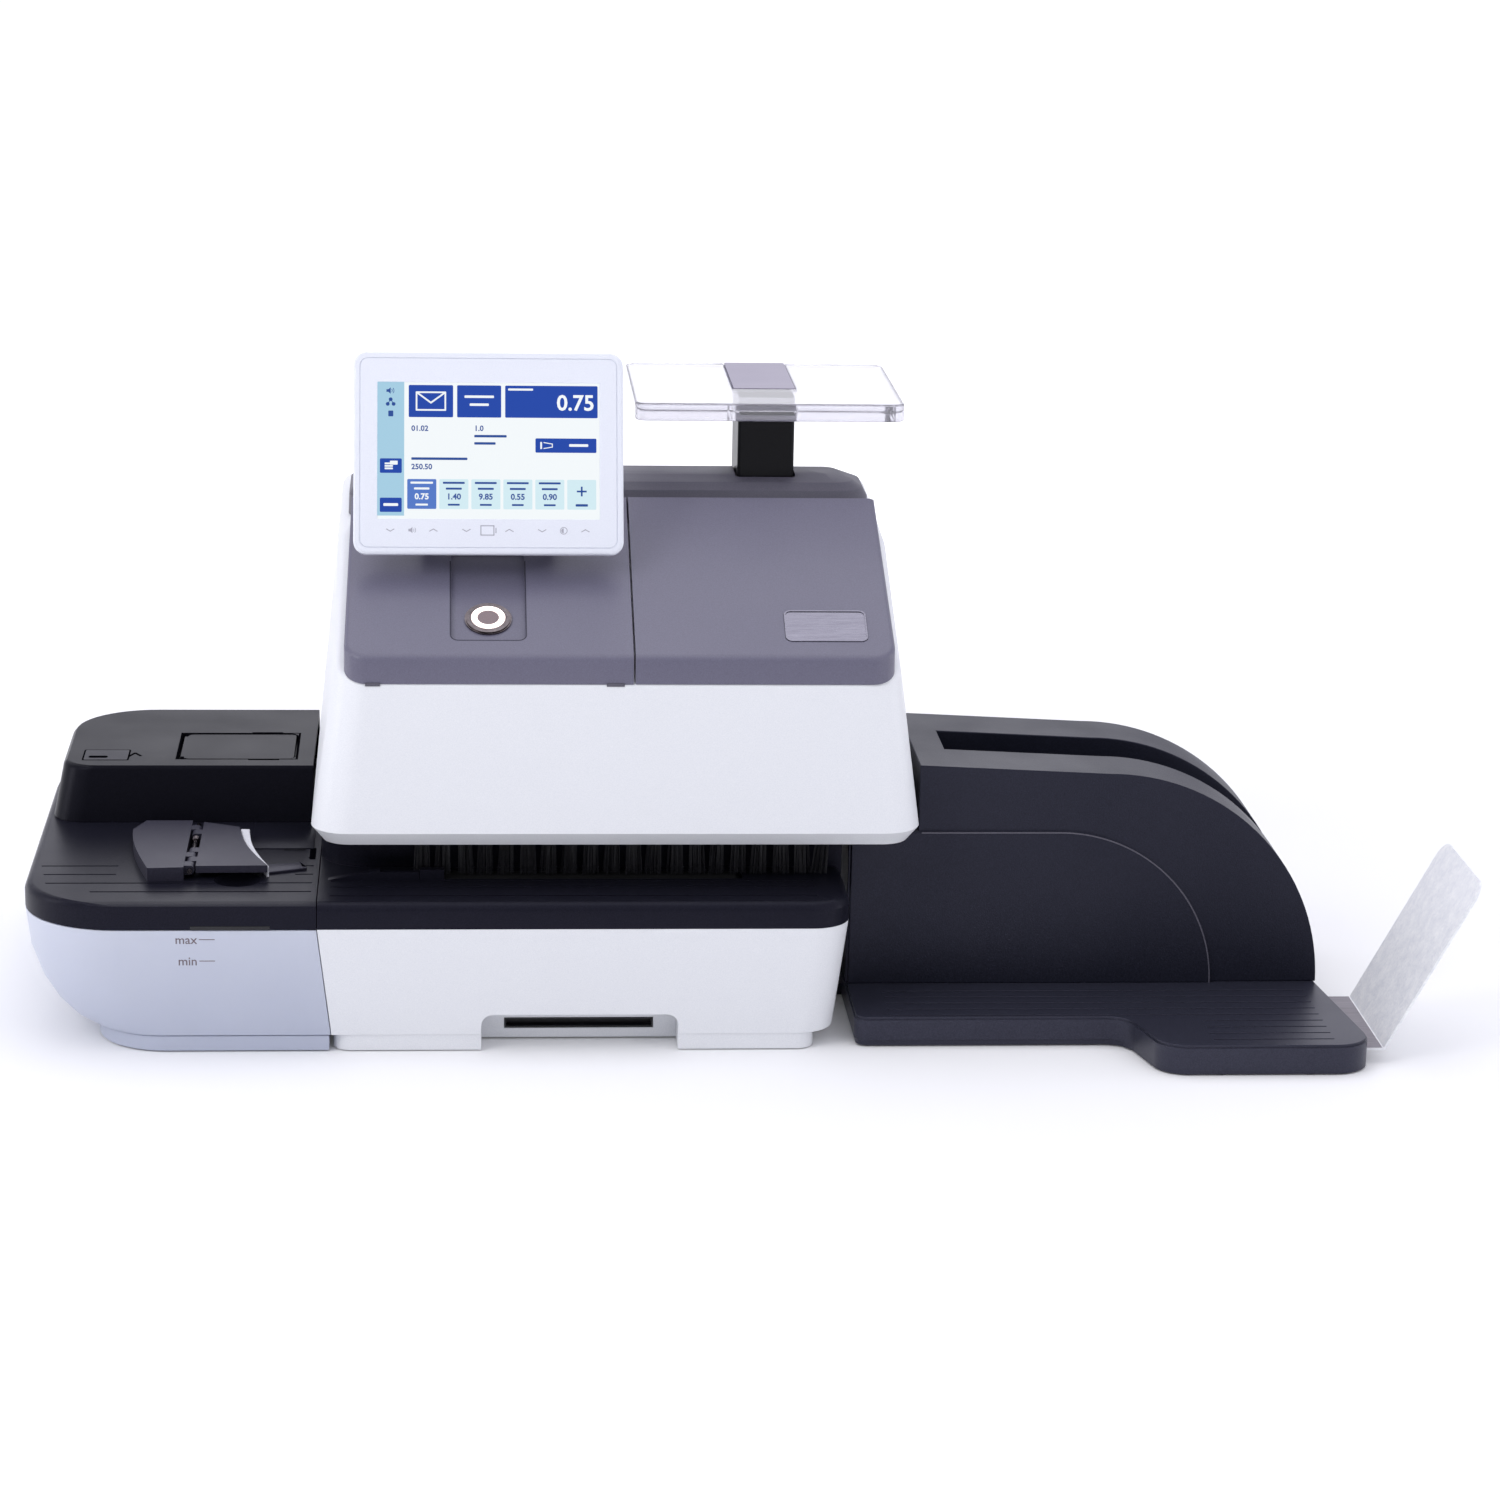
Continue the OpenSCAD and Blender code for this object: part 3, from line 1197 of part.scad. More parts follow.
module tray_floor() color(deck_black) difference() {
    union() {
        translate([0, 0, plinth_h - 7]) linear_extrude(tray_h - plinth_h + 7 - 2) tray_plan(0);
        translate([0, 0, tray_h - 2]) linear_extrude(2) tray_plan(1.4);
        translate([0, 0, foot_h]) linear_extrude(plinth_h - 7 - foot_h + 0.1) tray_plan(1.2);
        translate([0, 0, foot_h]) linear_extrude(plinth_h - 7 - foot_h + 0.1) intersection() {
            tray_plan(0);
            translate([lobe_x - 30, -lobe_y - past]) square([tray_l, lobe_y + tray_y - 4]);
        }
    }
    difference() {
        translate([0, 0, -past]) linear_extrude(tray_h - wall + past) tray_plan(wall);
        for (x = lobe_feet()) translate([x, lobe_foot_y(), foot_h]) cylinder(r = foot_r, h = tray_h);
    }
    block(tray_x0 - past, dome_y + 30 - gap, 0, tray_x0 + 2 * wall, dome_y + 90 + gap, shell_z0 - 1);
    block(tray_x1 - 30, stop_y - gap, stop_z - gap, tray_x1 + 60, stop_y + stop_d + gap, stop_z + sheet_t + gap);
    for (y = [-36 : 13 : dome_y - 12])
        block(y < tray_y ? lobe_x + 70 : tray_x0 + 24, y, tray_h - 0.9, tray_x1 - 12, y + 1.4, tray_h + past);
}

module tray_frame() color(black) difference() {
    back = dome_y + dome_d;
    block(tray_x0 + 12, tray_y + 14, foot_h, dome_x - 20, back - 12, tray_h - wall, 4);
    block(tray_x0 + 34, tray_y + 36, 0, dome_x - 42, back - 34, tray_h - wall - 3);
}

module docking_bar() color(black)
    block(plinth_x1(), dome_y + 30, foot_h + 1.5, tray_x0 + 12, dome_y + 90, shell_z0 - 1.5);

module stop_rails() color(steel) for (side = [0, 1]) {
    x0 = lobe_x + 46;
    y = side == 0 ? stop_y - 2.5 : stop_y + stop_d + 0.5;
    block(x0, y, stop_z - 2.3, tray_x1 - 34, y + 2, tray_h - wall);
    lip = side == 0 ? 0 : -4;
    block(x0, y + lip, stop_z - 2.3, tray_x1 - 34, y + lip + 6, stop_z - 0.3);
}

module letter_stop() color(steel) {
    r = 14;
    block(lobe_x + 50, stop_y, stop_z, stop_bend, stop_y + stop_d, stop_z + sheet_t);
    translate([stop_bend, 0, stop_z + sheet_t / 2]) along_y(stop_y, stop_y + stop_d, sheet_t / 2);
    translate([stop_bend, stop_y, stop_z + sheet_t / 2]) rotate([0, -stop_slope, 0]) translate([0, 0, -sheet_t / 2])
        linear_extrude(sheet_t) {
            square([stop_h - r, stop_d]);
            translate([0, r]) square([stop_h, stop_d - 2 * r]);
            for (y = [r, stop_d - r]) translate([stop_h - r, y]) circle(r);
        }
}

// Sockets on the back

inlet_x = base_x - 70;
socket_x = -base_x + 60;

module inlet_cut(grow) block(inlet_x - 14 - grow, base_d - 30, shell_z0 + 24 - grow, inlet_x + 14 + grow,
    base_d + past, shell_z0 + 44 + grow);

module power_inlet() color(black) difference() {
    union() {
        block(inlet_x - 14, base_d - 24, shell_z0 + 24, inlet_x + 14, base_d, shell_z0 + 44);
        block(inlet_x - 17, base_d, shell_z0 + 21, inlet_x + 17, base_d + inlet_lip, shell_z0 + 47);
    }
    block(inlet_x - 12, base_d - 16, shell_z0 + 26, inlet_x + 12, base_d + 2, shell_z0 + 42, 3);
}

module socket_cut(grow) block(socket_x - 26 - grow, base_d - 30, shell_z0 + 26 - grow, socket_x + 26 + grow,
    base_d + past, shell_z0 + 42 + grow);

module data_sockets() color([0.6, 0.61, 0.63]) difference() {
    block(socket_x - 26, base_d - 18, shell_z0 + 26, socket_x + 26, base_d - 0.4, shell_z0 + 42);
    block(socket_x - 23, base_d - 14, shell_z0 + 28, socket_x - 8, base_d, shell_z0 + 40);
    for (x = [socket_x - 2, socket_x + 13]) block(x, base_d - 14, shell_z0 + 28, x + 7, base_d, shell_z0 + 41);
}

module place() translate([-mid_x, -mid_y, 0]) children();

place() base_housing();
place() base_plinth();
place() rubber_feet();
place() front_slot_liner();
place() transport_deck();
place() rear_frame();
place() entry_guide();
place() letter_sensor();
place() transport_belt();
place() drive_roller();
place() idler_roller();
place() gearmotor();
place() brush_holder();
place() brush_bristles();
place() head_housing();
place() head_floor();
place() control_cover();
place() cartridge_lid();
place() lid_hinge_brackets();
place() lid_hinge_pins();
place() rear_cover();
place() cartridge_holder();
place() ink_cartridges();
place() main_board();
place() power_supply();
place() button_bezel();
place() start_button();
place() button_light_ring();
place() button_switch();
place() display_neck();
place() display_hinge_pin();
place() display_back();
place() display_bezel();
place() display_screen();
place() name_plate();
place() load_cell_bracket();
place() load_cell();
place() scale_post();
place() plate_cap();
place() weighing_plate();
place() sealer_chassis();
place() sealer_plinth();
place() water_tank();
place() sealer_deck();
place() sealer_hood();
place() filler_lid();
place() filler_hinge_pin();
place() flap_plough();
place() flap_guide();
place() flap_hinge_pin();
place() moistener_felt();
place() tray_floor();
place() tray_wall();
place() tray_frame();
place() docking_bar();
place() stop_rails();
place() letter_stop();
place() power_inlet();
place() data_sockets();
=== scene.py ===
import json
import math
import random

import bmesh
import bpy
from mathutils import Matrix, Vector, noise


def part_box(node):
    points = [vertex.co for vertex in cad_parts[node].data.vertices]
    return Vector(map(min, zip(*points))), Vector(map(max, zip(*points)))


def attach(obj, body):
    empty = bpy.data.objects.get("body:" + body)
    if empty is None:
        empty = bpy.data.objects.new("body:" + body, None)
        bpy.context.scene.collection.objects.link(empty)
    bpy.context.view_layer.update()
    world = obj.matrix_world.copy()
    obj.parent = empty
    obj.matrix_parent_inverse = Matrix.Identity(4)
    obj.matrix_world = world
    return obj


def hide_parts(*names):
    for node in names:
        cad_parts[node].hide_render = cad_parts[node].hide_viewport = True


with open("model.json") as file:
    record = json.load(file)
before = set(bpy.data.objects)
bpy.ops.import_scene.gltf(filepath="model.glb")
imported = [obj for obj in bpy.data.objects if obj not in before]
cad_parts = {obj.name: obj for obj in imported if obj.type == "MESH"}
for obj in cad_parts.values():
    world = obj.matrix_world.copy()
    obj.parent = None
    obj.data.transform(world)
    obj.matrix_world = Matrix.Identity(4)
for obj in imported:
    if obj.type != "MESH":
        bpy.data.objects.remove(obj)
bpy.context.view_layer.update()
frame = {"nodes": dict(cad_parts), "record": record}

nodes = frame["nodes"]
bodyOf = {node: body for body, names in frame["record"]["behaviour"]["bodies"].items() for node in names}
scene = bpy.context.scene
print("frame loaded:", len(nodes), "nodes")

# places are in mm from a point near the base's middle, at the deck's front edge and on the table
mm = 0.001
deckLeft = 175  # the deck's left end is this far to the left of that point
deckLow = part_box("transport_deck")[0]
origin = Vector((deckLow.x + deckLeft * mm, deckLow.y, 0))


def spot(x, y, z):
    return origin + Vector((x, y, z)) * mm


def boxMm(node):
    # a node's lowest and highest corners in the same mm
    return [(corner - origin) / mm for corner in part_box(node)]


def facing(at, lean):
    # the plane of a face that leans back: x across it, y up it, z towards the operator
    return Matrix.Translation(spot(*at)) @ Matrix.Rotation(math.radians(90 - lean), 4, "X")


def srgb(red, green, blue):
    # a colour as it is seen, turned into the shader's linear values
    seen = (red / 255, green / 255, blue / 255)
    return tuple(c / 12.92 if c < 0.0405 else ((c + 0.055) / 1.055) ** 2.4 for c in seen) + (1.0,)


def setInputs(node, values):
    for socket, value in values.items():
        node.inputs[socket].default_value = value


# camera at the photograph's angle
view = {
    "place": (-92.3, -2654.7, 924.9),
    "pitch": 15.0,
    "pan": 4.36,
    "roll": 1.18,
    "focalPx": 4180,
    "framePx": 1500,
    "sensor": 36,
    "farthest": 50,
}


def makeCamera():
    pitch, pan, roll = (math.radians(view[k]) for k in ("pitch", "pan", "roll"))
    forward = Vector((math.sin(pan) * math.cos(pitch), math.cos(pan) * math.cos(pitch), -math.sin(pitch)))
    right = Vector((math.cos(pan), -math.sin(pan), 0))
    up = right.cross(forward)
    turned = right * math.cos(roll) + up * math.sin(roll)
    lifted = up * math.cos(roll) - right * math.sin(roll)
    lens = bpy.data.cameras.new("camera")
    lens.sensor_width = view["sensor"]
    lens.lens = view["focalPx"] / view["framePx"] * view["sensor"]
    lens.clip_end = view["farthest"]
    camera = bpy.data.objects.new("camera", lens)
    scene.collection.objects.link(camera)
    turn = Matrix((turned, lifted, -forward)).transposed().to_4x4()
    camera.matrix_world = Matrix.Translation(spot(*view["place"])) @ turn
    scene.camera = camera


makeCamera()

# studio: a pale floor, a white surround and soft area lights, in metres
studio = {
    "floorRadius": 9.0,
    "floorSides": 96,
    "paper": {"Base Color": (0.92, 0.92, 0.92, 1), "Roughness": 0.9, "Specular IOR Level": 0.1,
              "Emission Color": (1, 1, 1, 1)},
    "paperGlow": {"From Min": 0.62, "From Max": 1.5, "To Min": 0.03, "To Max": 0.42},
    "skyTop": (0.96, 0.96, 1.08, 1),
    "skyFront": (0.44, 0.45, 0.50, 1),
    "skyStrength": 0.78,
    "skyBack": 0.5,
    "skyRise": {"From Min": -0.35, "From Max": 0.7},
    "backdrop": (1, 1, 1, 1),
    "aim": (60, 120, 150),  # mm
    "lights": [
        {"name": "keyLeft", "at": (-1.9, -1.5, 1.9), "size": 1.6, "watts": 20},
        {"name": "fillRight", "at": (2.0, -2.0, 1.3), "size": 2.0, "watts": 8},
        {"name": "topSoft", "at": (0.0, 0.3, 2.4), "size": 2.4, "watts": 15},
        {"name": "backSoft", "at": (0.2, 2.6, 1.6), "size": 2.6, "watts": 8},
        {"name": "sideLeft", "at": (-2.3, -0.1, 0.6), "size": 0.7, "watts": 5},
        {"name": "sideRight", "at": (2.3, -0.1, 0.6), "size": 0.7, "watts": 5},
    ],
}


def makeFloor():
    bm = bmesh.new()
    bmesh.ops.create_circle(bm, cap_ends=True, segments=studio["floorSides"], radius=studio["floorRadius"])
    mesh = bpy.data.meshes.new("floor")
    bm.to_mesh(mesh)
    bm.free()
    floor = bpy.data.objects.new("floor", mesh)
    scene.collection.objects.link(floor)
    paper = bpy.data.materials.new("floorPaper")
    paper.use_nodes = True
    tree = paper.node_tree
    shader = tree.nodes["Principled BSDF"]
    setInputs(shader, studio["paper"])
    # the paper brightens away from the object, so that its shadow stays soft but can be seen
    place = tree.nodes.new("ShaderNodeTexCoord")
    reach = tree.nodes.new("ShaderNodeVectorMath")
    reach.operation = "LENGTH"
    tree.links.new(place.outputs["Object"], reach.inputs[0])
    rise = tree.nodes.new("ShaderNodeMapRange")
    rise.interpolation_type = "SMOOTHSTEP"
    setInputs(rise, studio["paperGlow"])
    tree.links.new(reach.outputs["Value"], rise.inputs["Value"])
    tree.links.new(rise.outputs["Result"], shader.inputs["Emission Strength"])
    mesh.materials.append(paper)


def makeSky():
    world = bpy.data.worlds.new("studio")
    scene.world = world
    world.use_nodes = True
    tree = world.node_tree
    tree.nodes.clear()
    place = tree.nodes.new("ShaderNodeTexCoord")
    parts = tree.nodes.new("ShaderNodeSeparateXYZ")
    tree.links.new(place.outputs["Generated"], parts.inputs[0])
    lean = tree.nodes.new("ShaderNodeMath")  # bright above and behind, dim in front
    lean.operation = "MULTIPLY_ADD"
    tree.links.new(parts.outputs["Y"], lean.inputs[0])
    lean.inputs[1].default_value = studio["skyBack"]
    tree.links.new(parts.outputs["Z"], lean.inputs[2])
    ramp = tree.nodes.new("ShaderNodeMapRange")
    ramp.interpolation_type = "SMOOTHSTEP"
    setInputs(ramp, studio["skyRise"])
    tree.links.new(lean.outputs[0], ramp.inputs["Value"])
    blendSky = tree.nodes.new("ShaderNodeMix")
    blendSky.data_type = "RGBA"
    tree.links.new(ramp.outputs["Result"], blendSky.inputs["Factor"])
    setInputs(blendSky, {"A": studio["skyFront"], "B": studio["skyTop"]})
    soft = tree.nodes.new("ShaderNodeBackground")
    setInputs(soft, {"Strength": studio["skyStrength"]})
    tree.links.new(blendSky.outputs["Result"], soft.inputs["Color"])
    plain = tree.nodes.new("ShaderNodeBackground")
    setInputs(plain, {"Color": studio["backdrop"]})
    rays = tree.nodes.new("ShaderNodeLightPath")
    pick = tree.nodes.new("ShaderNodeMixShader")  # what is seen past the floor is plain white
    tree.links.new(rays.outputs["Is Camera Ray"], pick.inputs[0])
    tree.links.new(soft.outputs[0], pick.inputs[1])
    tree.links.new(plain.outputs[0], pick.inputs[2])
    out = tree.nodes.new("ShaderNodeOutputWorld")
    tree.links.new(pick.outputs[0], out.inputs["Surface"])


def makeLights():
    aim = spot(*studio["aim"])
    for lamp in studio["lights"]:
        data = bpy.data.lights.new(lamp["name"], "AREA")
        data.shape = "DISK"
        data.size = lamp["size"]
        data.energy = lamp["watts"]
        light = bpy.data.objects.new(lamp["name"], data)
        scene.collection.objects.link(light)
        light.location = lamp["at"]
        light.rotation_euler = (aim - Vector(lamp["at"])).to_track_quat("-Z", "Y").to_euler()


makeFloor()
makeSky()
makeLights()
scene.view_settings.view_transform = "Standard"
print("camera, floor and lights set")


def addSockets(group, inputs, outputs):
    for direction, sockets in (("INPUT", inputs), ("OUTPUT", outputs)):
        for name, kind in sockets.items():
            group.interface.new_socket(name=name, in_out=direction, socket_type=kind)
    return group.nodes.new("NodeGroupInput"), group.nodes.new("NodeGroupOutput")


def feed(tree, socket, value):
    # a number is set on the socket, and another node's output is linked to it
    if isinstance(value, (int, float)):
        socket.default_value = value
    else:
        tree.links.new(value, socket)


def mathNode(tree, operation, *values):
    node = tree.nodes.new("ShaderNodeMath")
    node.operation = operation
    for socket, value in zip(node.inputs, values):
        feed(tree, socket, value)
    return node.outputs[0]


def noiseNode(tree, vector, scale, detail=2.0, roughness=0.5):
    node = tree.nodes.new("ShaderNodeTexNoise")
    tree.links.new(vector, node.inputs["Vector"])
    feed(tree, node.inputs["Scale"], scale)
    setInputs(node, {"Detail": detail, "Roughness": roughness})
    return node.outputs["Fac"]


# shared surface effects, built once and placed in each material with its own values
grainMix = {"detail": 3.0, "roughness": 0.6, "pebble": -0.8}
lineMix = {"detail": 4.0, "roughness": 0.65, "fineShare": 0.7, "wideScale": 0.22, "wideShare": 0.45}


def makeMouldGrain():
    # the fine pebbled texture of moulded plastic, with slow clouds of sheen and tone
    group = bpy.data.node_groups.new("mouldGrain", "ShaderNodeTree")
    given, out = addSockets(
        group,
        {"Vector": "NodeSocketVector", "Grain Scale": "NodeSocketFloat", "Cloud Scale": "NodeSocketFloat"},
        {"Height": "NodeSocketFloat", "Speckle": "NodeSocketFloat", "Cloud": "NodeSocketFloat"},
    )
    vector = given.outputs["Vector"]
    scale = given.outputs["Grain Scale"]
    pebble = group.nodes.new("ShaderNodeTexVoronoi")
    pebble.feature = "SMOOTH_F1"
    group.links.new(vector, pebble.inputs["Vector"])
    group.links.new(scale, pebble.inputs["Scale"])
    fine = noiseNode(group, vector, scale, grainMix["detail"], grainMix["roughness"])
    height = mathNode(group, "MULTIPLY_ADD", pebble.outputs["Distance"], grainMix["pebble"], fine)
    cloud = noiseNode(group, vector, given.outputs["Cloud Scale"], grainMix["detail"])
    group.links.new(height, out.inputs["Height"])
    group.links.new(fine, out.inputs["Speckle"])
    group.links.new(cloud, out.inputs["Cloud"])
    return group


def makeBrushLines():
    # the short overlapping scratches of brushed sheet, stretched along one direction
    group = bpy.data.node_groups.new("brushLines", "ShaderNodeTree")
    given, out = addSockets(
        group,
        {"Vector": "NodeSocketVector", "Line Scale": "NodeSocketFloat"},
        {"Height": "NodeSocketFloat", "Streak": "NodeSocketFloat"},
    )
    vector = given.outputs["Vector"]
    scale = given.outputs["Line Scale"]
    line = noiseNode(group, vector, scale, lineMix["detail"], lineMix["roughness"])
    wide = noiseNode(group, vector, mathNode(group, "MULTIPLY", scale, lineMix["wideScale"]))
    wideShare = mathNode(group, "MULTIPLY", wide, lineMix["wideShare"])
    streak = mathNode(group, "MULTIPLY_ADD", line, lineMix["fineShare"], wideShare)
    group.links.new(line, out.inputs["Height"])
    group.links.new(streak, out.inputs["Streak"])
    return group


mouldGrain = makeMouldGrain()
brushLines = makeBrushLines()


def startMaterial(name, settings):
    material = bpy.data.materials.new(name)
    material.use_nodes = True
    tree = material.node_tree
    shader = tree.nodes["Principled BSDF"]
    setInputs(shader, settings)
    place = tree.nodes.new("ShaderNodeTexCoord")
    return material, tree, shader, place.outputs["Object"]


def groupNode(tree, group, vector, values):
    node = tree.nodes.new("ShaderNodeGroup")
    node.node_tree = group
    tree.links.new(vector, node.inputs["Vector"])
    setInputs(node, values)
    return node


def spread(tree, value, low, high, start=0.3, end=0.7):
    # the middle of a noise's range is spread between two values
    node = tree.nodes.new("ShaderNodeMapRange")
    tree.links.new(value, node.inputs["Value"])
    setInputs(node, {"From Min": start, "From Max": end, "To Min": low, "To Max": high})
    return node.outputs["Result"]


def mixColours(tree, factor, first, second):
    node = tree.nodes.new("ShaderNodeMix")
    node.data_type = "RGBA"
    tree.links.new(factor, node.inputs["Factor"])
    setInputs(node, {"A": first, "B": second})
    return node.outputs["Result"]


def paint(tree, shader, look, tone, sheen):
    # one mask runs through the colours, and another through the roughness
    tree.links.new(mixColours(tree, tone, look["low"], look["high"]), shader.inputs["Base Color"])
    tree.links.new(spread(tree, sheen, *look["rough"]), shader.inputs["Roughness"])


def bump(tree, shader, height, depth):
    node = tree.nodes.new("ShaderNodeBump")
    setInputs(node, {"Distance": depth})
    tree.links.new(height, node.inputs["Height"])
    tree.links.new(node.outputs["Normal"], shader.inputs["Normal"])


# moulded plastics, printed marks, a flat black for painted shade lines, and rubber
slowCloud = 14.0
coolGloss = (0.78, 0.77, 1.0, 1)
plastics = {
    "whiteCasing": {"low": srgb(226, 228, 232), "high": srgb(236, 237, 240), "rough": (0.38, 0.46),
                    "grain": 1500, "depth": 0.00003},
    "whiteBezel": {"low": srgb(228, 231, 240), "high": srgb(235, 238, 246), "rough": (0.30, 0.36),
                   "grain": 1800, "depth": 0.00001},
    "coverGrey": {"low": srgb(97, 95, 113), "high": srgb(109, 107, 126), "rough": (0.32, 0.40),
                  "grain": 1300, "depth": 0.00005},
    "humpGrey": {"low": srgb(80, 78, 89), "high": srgb(92, 90, 102), "rough": (0.42, 0.52),
                 "grain": 1300, "depth": 0.00005},
    "deckBlack": {"low": srgb(18, 18, 26), "high": srgb(30, 30, 40), "rough": (0.28, 0.36), "grain": 1300,
                  "depth": 0.00006, "shader": {"Specular IOR Level": 0.12, "Specular Tint": coolGloss}},
    "hoodBlack": {"low": srgb(9, 9, 14), "high": srgb(17, 17, 24), "rough": (0.30, 0.38), "grain": 1300,
                  "depth": 0.00006, "shader": {"Specular IOR Level": 0.10, "Specular Tint": coolGloss}},
    "flapBlack": {"low": srgb(38, 37, 47), "high": srgb(52, 51, 63), "rough": (0.36, 0.46), "grain": 1300,
                  "depth": 0.00006, "shader": {"Specular IOR Level": 0.35, "Specular Tint": coolGloss}},
    "trayBlack": {"low": srgb(18, 19, 28), "high": srgb(29, 31, 42), "rough": (0.36, 0.46), "grain": 1200,
                  "depth": 0.00007, "shader": {"Specular IOR Level": 0.35, "Specular Tint": coolGloss}},
    "floorBlack": {"low": srgb(36, 37, 47), "high": srgb(52, 53, 65), "rough": (0.30, 0.40), "grain": 1200,
                   "depth": 0.00007, "shader": {"Specular IOR Level": 0.4, "Specular Tint": coolGloss}},
    # a flat black that does not reflect: painted shade in gaps, grooves, notches and slots, also used for
    # small dark marks
    "lineBlack": {"low": srgb(4, 4, 7), "high": srgb(9, 9, 13), "rough": (0.8, 0.9), "grain": 1200,
                  "depth": 0.00002, "shader": {"Specular IOR Level": 0.0}},
    "innerBlack": {"low": srgb(22, 22, 25), "high": srgb(30, 30, 34), "rough": (0.5, 0.6),
                   "grain": 1200, "depth": 0.00004},
    "postBlack": {"low": srgb(6, 6, 10), "high": srgb(11, 11, 16), "rough": (0.26, 0.34), "grain": 1500,
                  "depth": 0.00002, "shader": {"Specular IOR Level": 0.14}},
    "buttonCap": {"low": srgb(118, 101, 104), "high": srgb(134, 116, 119), "rough": (0.32, 0.40),
                  "grain": 1800, "depth": 0.00001},
    "capGrey": {"low": srgb(140, 134, 152), "high": srgb(156, 150, 168), "rough": (0.40, 0.48),
                "grain": 1500, "depth": 0.00003},
    "boardGreen": {"low": srgb(20, 84, 48), "high": srgb(30, 104, 60), "rough": (0.34, 0.42),
                   "grain": 700, "depth": 0.00001},
    "printGrey": {"low": srgb(166, 165, 176), "high": srgb(174, 173, 184), "rough": (0.4, 0.5),
                  "grain": 1500, "depth": 0.00001},
    "printBrown": {"low": srgb(110, 98, 104), "high": srgb(118, 106, 112), "rough": (0.4, 0.5),
                   "grain": 1500, "depth": 0.00001},
    "rubber": {"low": srgb(26, 26, 27), "high": srgb(40, 40, 41), "rough": (0.66, 0.8), "grain": 900,
               "cloud": 40.0, "depth": 0.00008, "shader": {"Specular IOR Level": 0.3}},
}


def mouldedPlastic(name, look):
    material, tree, shader, vector = startMaterial(name, look.get("shader", {}))
    scales = {"Grain Scale": look["grain"], "Cloud Scale": look.get("cloud", slowCloud)}
    grain = groupNode(tree, mouldGrain, vector, scales)
    paint(tree, shader, look, spread(tree, grain.outputs["Speckle"], 0, 1), grain.outputs["Cloud"])
    bump(tree, shader, grain.outputs["Height"], look["depth"])
    return material


# the tank's milky plastic, whose tone deepens from the rim down
tank = {
    "low": srgb(176, 182, 200),
    "high": srgb(206, 210, 223),
    "rough": (0.30, 0.40),
    "grain": 900,
    "cloud": 9.0,
    "cloudShare": 0.35,
    "fallShare": 0.6,
    "depth": 0.00002,
    "rim": 0.088,  # metres above the table
    "shader": {"Subsurface Weight": 0.12, "Subsurface Radius": (0.01, 0.011, 0.014), "Subsurface Scale": 0.4},
}


def tankPlastic():
    material, tree, shader, vector = startMaterial("tankPlastic", tank["shader"])
    scales = {"Grain Scale": tank["grain"], "Cloud Scale": tank["cloud"]}
    grain = groupNode(tree, mouldGrain, vector, scales)
    parts = tree.nodes.new("ShaderNodeSeparateXYZ")
    tree.links.new(vector, parts.inputs[0])
    fall = spread(tree, parts.outputs["Z"], 0.0, 1.0, 0.0, tank["rim"])
    fallShare = mathNode(tree, "MULTIPLY", fall, tank["fallShare"])
    cloudy = mathNode(tree, "MULTIPLY_ADD", grain.outputs["Cloud"], tank["cloudShare"], fallShare)
    paint(tree, shader, tank, cloudy, grain.outputs["Cloud"])
    bump(tree, shader, grain.outputs["Height"], tank["depth"])
    return material


# metals with fine lines along one direction
streakRange = (0.35, 0.8)
metals = {
    # the letter stop's steel is near white and hardly metallic: its colour paints the bright sheen of the
    # brushed steel
    "stopSteelPaintedSheen": {"low": srgb(222, 224, 231), "high": srgb(255, 255, 255), "rough": (0.30, 0.44),
                  "metal": 0.02, "pull": 0.0, "lines": 600, "depth": 0.00004, "stretch": (0.09, 1, 1),
                  "turn": (20, 62, 0)},
    # a darker copy of the letter stop's steel, for its foot: painted shade
    "footSteelShaded": {"low": srgb(112, 107, 114), "high": srgb(146, 141, 148), "rough": (0.40, 0.50),
                    "metal": 0.3, "pull": 0.0, "lines": 600, "depth": 0.00002, "stretch": (0.09, 1, 1)},
    "machinedSteel": {"low": srgb(158, 160, 166), "high": srgb(206, 208, 213), "rough": (0.22, 0.34),
                      "metal": 1.0, "pull": 0.3, "lines": 900, "depth": 0.00002, "stretch": (1, 0.1, 1)},
    "aluminium": {"low": srgb(176, 178, 182), "high": srgb(214, 216, 220), "rough": (0.30, 0.42),
                  "metal": 1.0, "pull": 0.3, "lines": 800, "depth": 0.00002, "stretch": (0.1, 1, 1)},
    "chromeRing": {"low": srgb(80, 74, 76), "high": srgb(124, 116, 118), "rough": (0.12, 0.20),
                   "metal": 1.0, "pull": 0.0, "lines": 300, "depth": 0.000005, "stretch": (1, 1, 1)},
    "plateSheen": {"low": srgb(112, 110, 122), "high": srgb(142, 140, 152), "rough": (0.20, 0.30),
                   "metal": 1.0, "pull": 0.2, "lines": 2400, "depth": 0.000002, "stretch": (0.05, 1, 1)},
}


def brushedMetal(name, look):
    settings = {"Metallic": look["metal"], "Anisotropic": look["pull"]}
    material, tree, shader, vector = startMaterial(name, settings)
    turn = tree.nodes.new("ShaderNodeMapping")
    tree.links.new(vector, turn.inputs["Vector"])
    angles = [math.radians(a) for a in look.get("turn", (0, 0, 0))]
    setInputs(turn, {"Rotation": angles, "Scale": look["stretch"]})
    lines = groupNode(tree, brushLines, turn.outputs["Vector"], {"Line Scale": look["lines"]})
    streak = lines.outputs["Streak"]
    paint(tree, shader, look, spread(tree, streak, 0, 1, *streakRange), streak)
    bump(tree, shader, lines.outputs["Height"], look["depth"])
    return material


